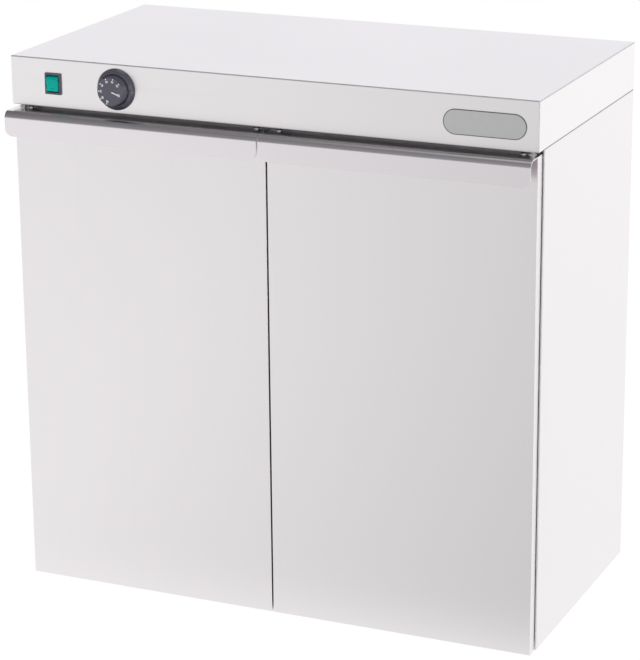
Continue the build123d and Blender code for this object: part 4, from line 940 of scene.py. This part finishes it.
def makeShelfTree(sizes):
    kinds = {key: "NodeSocketInt" if isinstance(size, int) else "NodeSocketFloat" for key, size in sizes.items()}
    tree = NodeTree("wireShelf", {"Geometry": "NodeSocketGeometry", **kinds, "wireHeight": "NodeSocketFloat",
                                  "level": "NodeSocketFloat", "Material": "NodeSocketMaterial"})
    value = tree.value

    def vector(x=0.0, y=0.0, z=0.0):
        return tree.node("ShaderNodeCombineXYZ", {0: x, 1: y, 2: z})

    def ring(sides, radius):
        return tree.node("GeometryNodeCurvePrimitiveCircle", {"Resolution": sides, "Radius": radius})

    def rod(start, end, radius, sides):
        line = tree.node("GeometryNodeCurvePrimitiveLine", {"Start": start, "End": end})
        return tree.node("GeometryNodeCurveToMesh", {"Curve": line, "Profile Curve": ring(sides, radius),
                                                     "Fill Caps": True})

    def rowOf(copy, count, start, offset):
        points = tree.node("GeometryNodeMeshLine", {"Count": count, "Start Location": start, "Offset": offset},
                           mode="OFFSET")
        return tree.node("GeometryNodeInstanceOnPoints", {"Points": points, "Instance": copy})

    level, half, front, back, overhang = (value(key) for key in ("level", "halfWidth", "front", "back", "overhang"))
    wire = rod(vector(y=front - overhang), vector(y=back + overhang), value("wireRadius"), 12)
    first = (value("count") - 1) * value("pitch") * -0.5
    wires = rowOf(wire, value("count"), vector(first, 0.0, level + value("wireHeight")), vector(x=value("pitch")))
    cross = rod(vector(x=half * -1.0), vector(x=half), value("crossRadius"), 14)
    crosses = rowOf(cross, 2, vector(0.0, value("crossFront"), level),
                    vector(y=value("crossBack") - value("crossFront")))
    loop = tree.node("GeometryNodeCurvePrimitiveQuadrilateral", {"Width": half * 2.0, "Height": back - front},
                     mode="RECTANGLE")
    loop = tree.node("GeometryNodeFilletCurve", {"Curve": loop, "Radius": value("corner"), "Count": 10}, mode="POLY")
    loop = tree.node("GeometryNodeCurveToMesh", {"Curve": loop, "Profile Curve": ring(18, value("frameRadius"))})
    middle = vector(0.0, (back + front) * 0.5, level)
    loop = tree.node("GeometryNodeTransform", {"Geometry": loop, "Translation": middle})
    join = tree.tree.nodes.new("GeometryNodeJoinGeometry")
    for part in (wires, crosses, loop):
        tree.tree.links.new(part.socket, join.inputs[0])
    tree.finish(Wire(tree, join.outputs[0]))
    return tree


shelfTree = makeShelfTree(wireShelf["sizes"])
wireHeight = wireShelf["sizes"]["crossRadius"] + wireShelf["sizes"]["wireRadius"] - wireShelf["weld"]
for node, level in wireShelf["levels"].items():
    mesh = shelfTree.grow(node + "Wires", plainMesh("seed", []), {
        **wireShelf["sizes"], "wireHeight": wireHeight, "level": level, "Material": finishes["shelf_wire"]})
    piece(node + "Wires", smoothed(mesh, 40), node, "shelf_wire", stands=[node])
print("wire shelves made")


# studio

studio = {"edge": (1.2, 0.62, 0.18), "edgeFade": 3.2, "turn": (0.6, 0.8, 0.9, 0.75), "overhead": 0.15,
          "rise": 0.13, "lean": 0.35, "leanFrom": 0.5, "ceiling": 0.75, "ceilingFrom": 0.90, "ceilingFade": 0.08,
          "sweep": 1.035, "tint": (0.975, 0.98, 1.0), "boxFrom": 0.984, "boxFade": 0.009,
          "boxes": (((-0.90, 0.25, 0.31), 3.0), ((0.80, -0.60, 0.03), 3.0)), "lampSize": 1.8,
          "lamps": {"keyLamp": ((2.6, -1.2, 2.2), (0.2, 0, 0.4), 50.0),
                    "fillLamp": ((-2.4, -2.2, 1.6), (0, 0, 0.4), 40.0)}}
sweepFloor = {"size": 40.0, "tones": ((0.86, 0.86, 0.86), (0.90, 0.90, 0.90)), "rough": 0.9, "white": 1.04,
              "glow": 1.15, "shade": 0.06, "bounce": 0.6, "nearest": -3.0,
              "ahead": (0.73, 0.045, 0.328, 0.065), "aheadRange": (0.4, 0.87),
              "beside": (0.905, 0.014, 0.96), "frontFrom": -0.15, "frontFade": 0.2,
              "patch": (1.8, -1.2), "patchRadius": 0.45, "patchStrength": 6.5}


def makeWorld(look):
    world = bpy.data.worlds.new("studioWorld")
    bpy.context.scene.world = world
    world.use_nodes = True
    sheet = Sheet(world.node_tree)
    background = world.node_tree.nodes["Background"]
    across, back, up = sheet.split(sheet.node("ShaderNodeTexCoord", output="Generated"))
    # bright backdrop behind and low down, darker room over it, pale ceiling, a little lighter in front
    steep, height, lowest = look["edge"]
    edge = (back * steep).clamped() * height + lowest
    lowGlow = ((edge - up) * look["edgeFade"]).clamped()
    behind, aside, offset, gain = look["turn"]
    turn = ((back * behind - across * aside + offset) * gain).clamped()
    lean = (across + look["leanFrom"]).clamped() * look["lean"]
    room = look["overhead"] + (back * -1.0).clamped() * (lean + look["rise"])
    room = room + ((up - look["ceilingFrom"]) / look["ceilingFade"]).clamped() * look["ceiling"]
    level = room + lowGlow * ((0.5 + turn * 0.5) * look["sweep"] - room)
    for toward, strength in look["boxes"]:  # two small soft boxes, left and front right
        x, y, z = Vector(toward).normalized()
        facingBox = across * x + back * y + up * z
        level = level + ((facingBox - look["boxFrom"]) / look["boxFade"]).clamped() * strength
    seen = sheet.node("ShaderNodeLightPath", output="Is Camera Ray")
    sheet.feed(background.inputs["Color"], sheet.between(seen, look["tint"], (1.0, 1.0, 1.0)))
    sheet.feed(background.inputs["Strength"], seen + (1 - seen) * level)


def makeFloor(look):
    half = look["size"] / 2
    corners = [(-half, -half, 0), (half, -half, 0), (half, half, 0), (-half, half, 0)]
    floor = workingObject("studioFloor", plainMesh("studioFloor", corners, [(0, 1, 2, 3)]))
    sheet = Finish("paleFloor", Roughness=look["rough"])
    nodes = sheet.tree.nodes
    sheet.set(Base_Color=sheet.between(sheet.noise(sheet.place(), 1.5, 3.0), *look["tones"]))
    # the sweep falls off in front and to the right; one bright patch there stands for a low soft box
    across, back = sheet.split(sheet.place())[:2]
    near = back.maths("MAXIMUM", look["nearest"])
    level, slope, lean, twist = look["ahead"]
    darkest, lightest = look["aheadRange"]
    ahead = level + near * slope - across * (lean + near * twist)
    ahead = ahead.maths("MINIMUM", lightest).maths("MAXIMUM", darkest)
    level, slope, limit = look["beside"]
    beside = (level + back * slope).maths("MINIMUM", limit)
    inFront = ((look["frontFrom"] - back) / look["frontFade"]).clamped()
    (patchX, patchY), radius = look["patch"], look["patchRadius"]
    overX, overY = (across - patchX) / radius, (back - patchY) / radius
    patch = (1 - overX * overX - overY * overY).clamped() * look["patchStrength"]
    tone = beside + inFront * (ahead - beside) + patch
    grey = sheet.node("ShaderNodeCombineXYZ", {axis: tone for axis in range(3)})
    camera, glossy, through = (sheet.node("ShaderNodeLightPath", output="Is " + ray + " Ray")
                               for ray in ("Camera", "Glossy", "Transmission"))
    glow = nodes.new("ShaderNodeEmission")
    sheet.feed(glow.inputs["Color"], sheet.between(camera, grey, (look["white"] / look["glow"],) * 3))
    glow.inputs["Strength"].default_value = look["glow"]
    mixer = nodes.new("ShaderNodeMixShader")
    shown = camera * (1 - look["shade"] - look["bounce"]) + look["bounce"] + glossy + through
    sheet.feed(mixer.inputs[0], shown.clamped())
    surface = nodes["Material Output"].inputs["Surface"]
    for source, socket in ((sheet.shader, mixer.inputs[1]), (glow, mixer.inputs[2]), (mixer, surface)):
        sheet.tree.links.new(source.outputs[0], socket)
    floor.data.materials.append(sheet.material)


def areaLamp(name, place, target, power, size):
    lamp = bpy.data.lights.new(name, "AREA")
    lamp.shape = "RECTANGLE"
    lamp.size = lamp.size_y = size
    lamp.energy = power
    obj = workingObject(name, lamp)
    obj.location = place
    obj.rotation_euler = (Vector(target) - Vector(place)).to_track_quat("-Z", "Y").to_euler()
    obj.visible_glossy = False  # broad soft boxes: the steel shows the sweep and the room, not the lamps


shot = {"place": (1.422, -3.2295, 1.494), "yaw": 23.9, "pitch": 17.74, "roll": -0.5, "lens": 144.93}


def makeCamera(look):
    data = bpy.data.cameras.new("shotCamera")
    data.lens = look["lens"]
    data.sensor_width = 36.0
    data.clip_start = 0.05
    data.clip_end = 200.0
    camera = workingObject("shotCamera", data)
    yaw, pitch, roll = map(radians, pick(look, "yaw pitch roll"))
    ahead = Vector((-sin(yaw) * cos(pitch), cos(yaw) * cos(pitch), -sin(pitch)))
    level = ahead.cross(Vector((0, 0, 1))).normalized()
    upward = level.cross(ahead)
    right = cos(roll) * level + sin(roll) * upward
    top = cos(roll) * upward - sin(roll) * level
    camera.matrix_world = Matrix.Translation(look["place"]) @ Matrix((right, top, -ahead)).transposed().to_4x4()
    bpy.context.scene.camera = camera


makeWorld(studio)
makeFloor(sweepFloor)
for name, (place, target, power) in studio["lamps"].items():
    areaLamp(name, place, target, power, studio["lampSize"])
makeCamera(shot)
bpy.context.scene.view_settings.view_transform = "Standard"
print("studio ready")
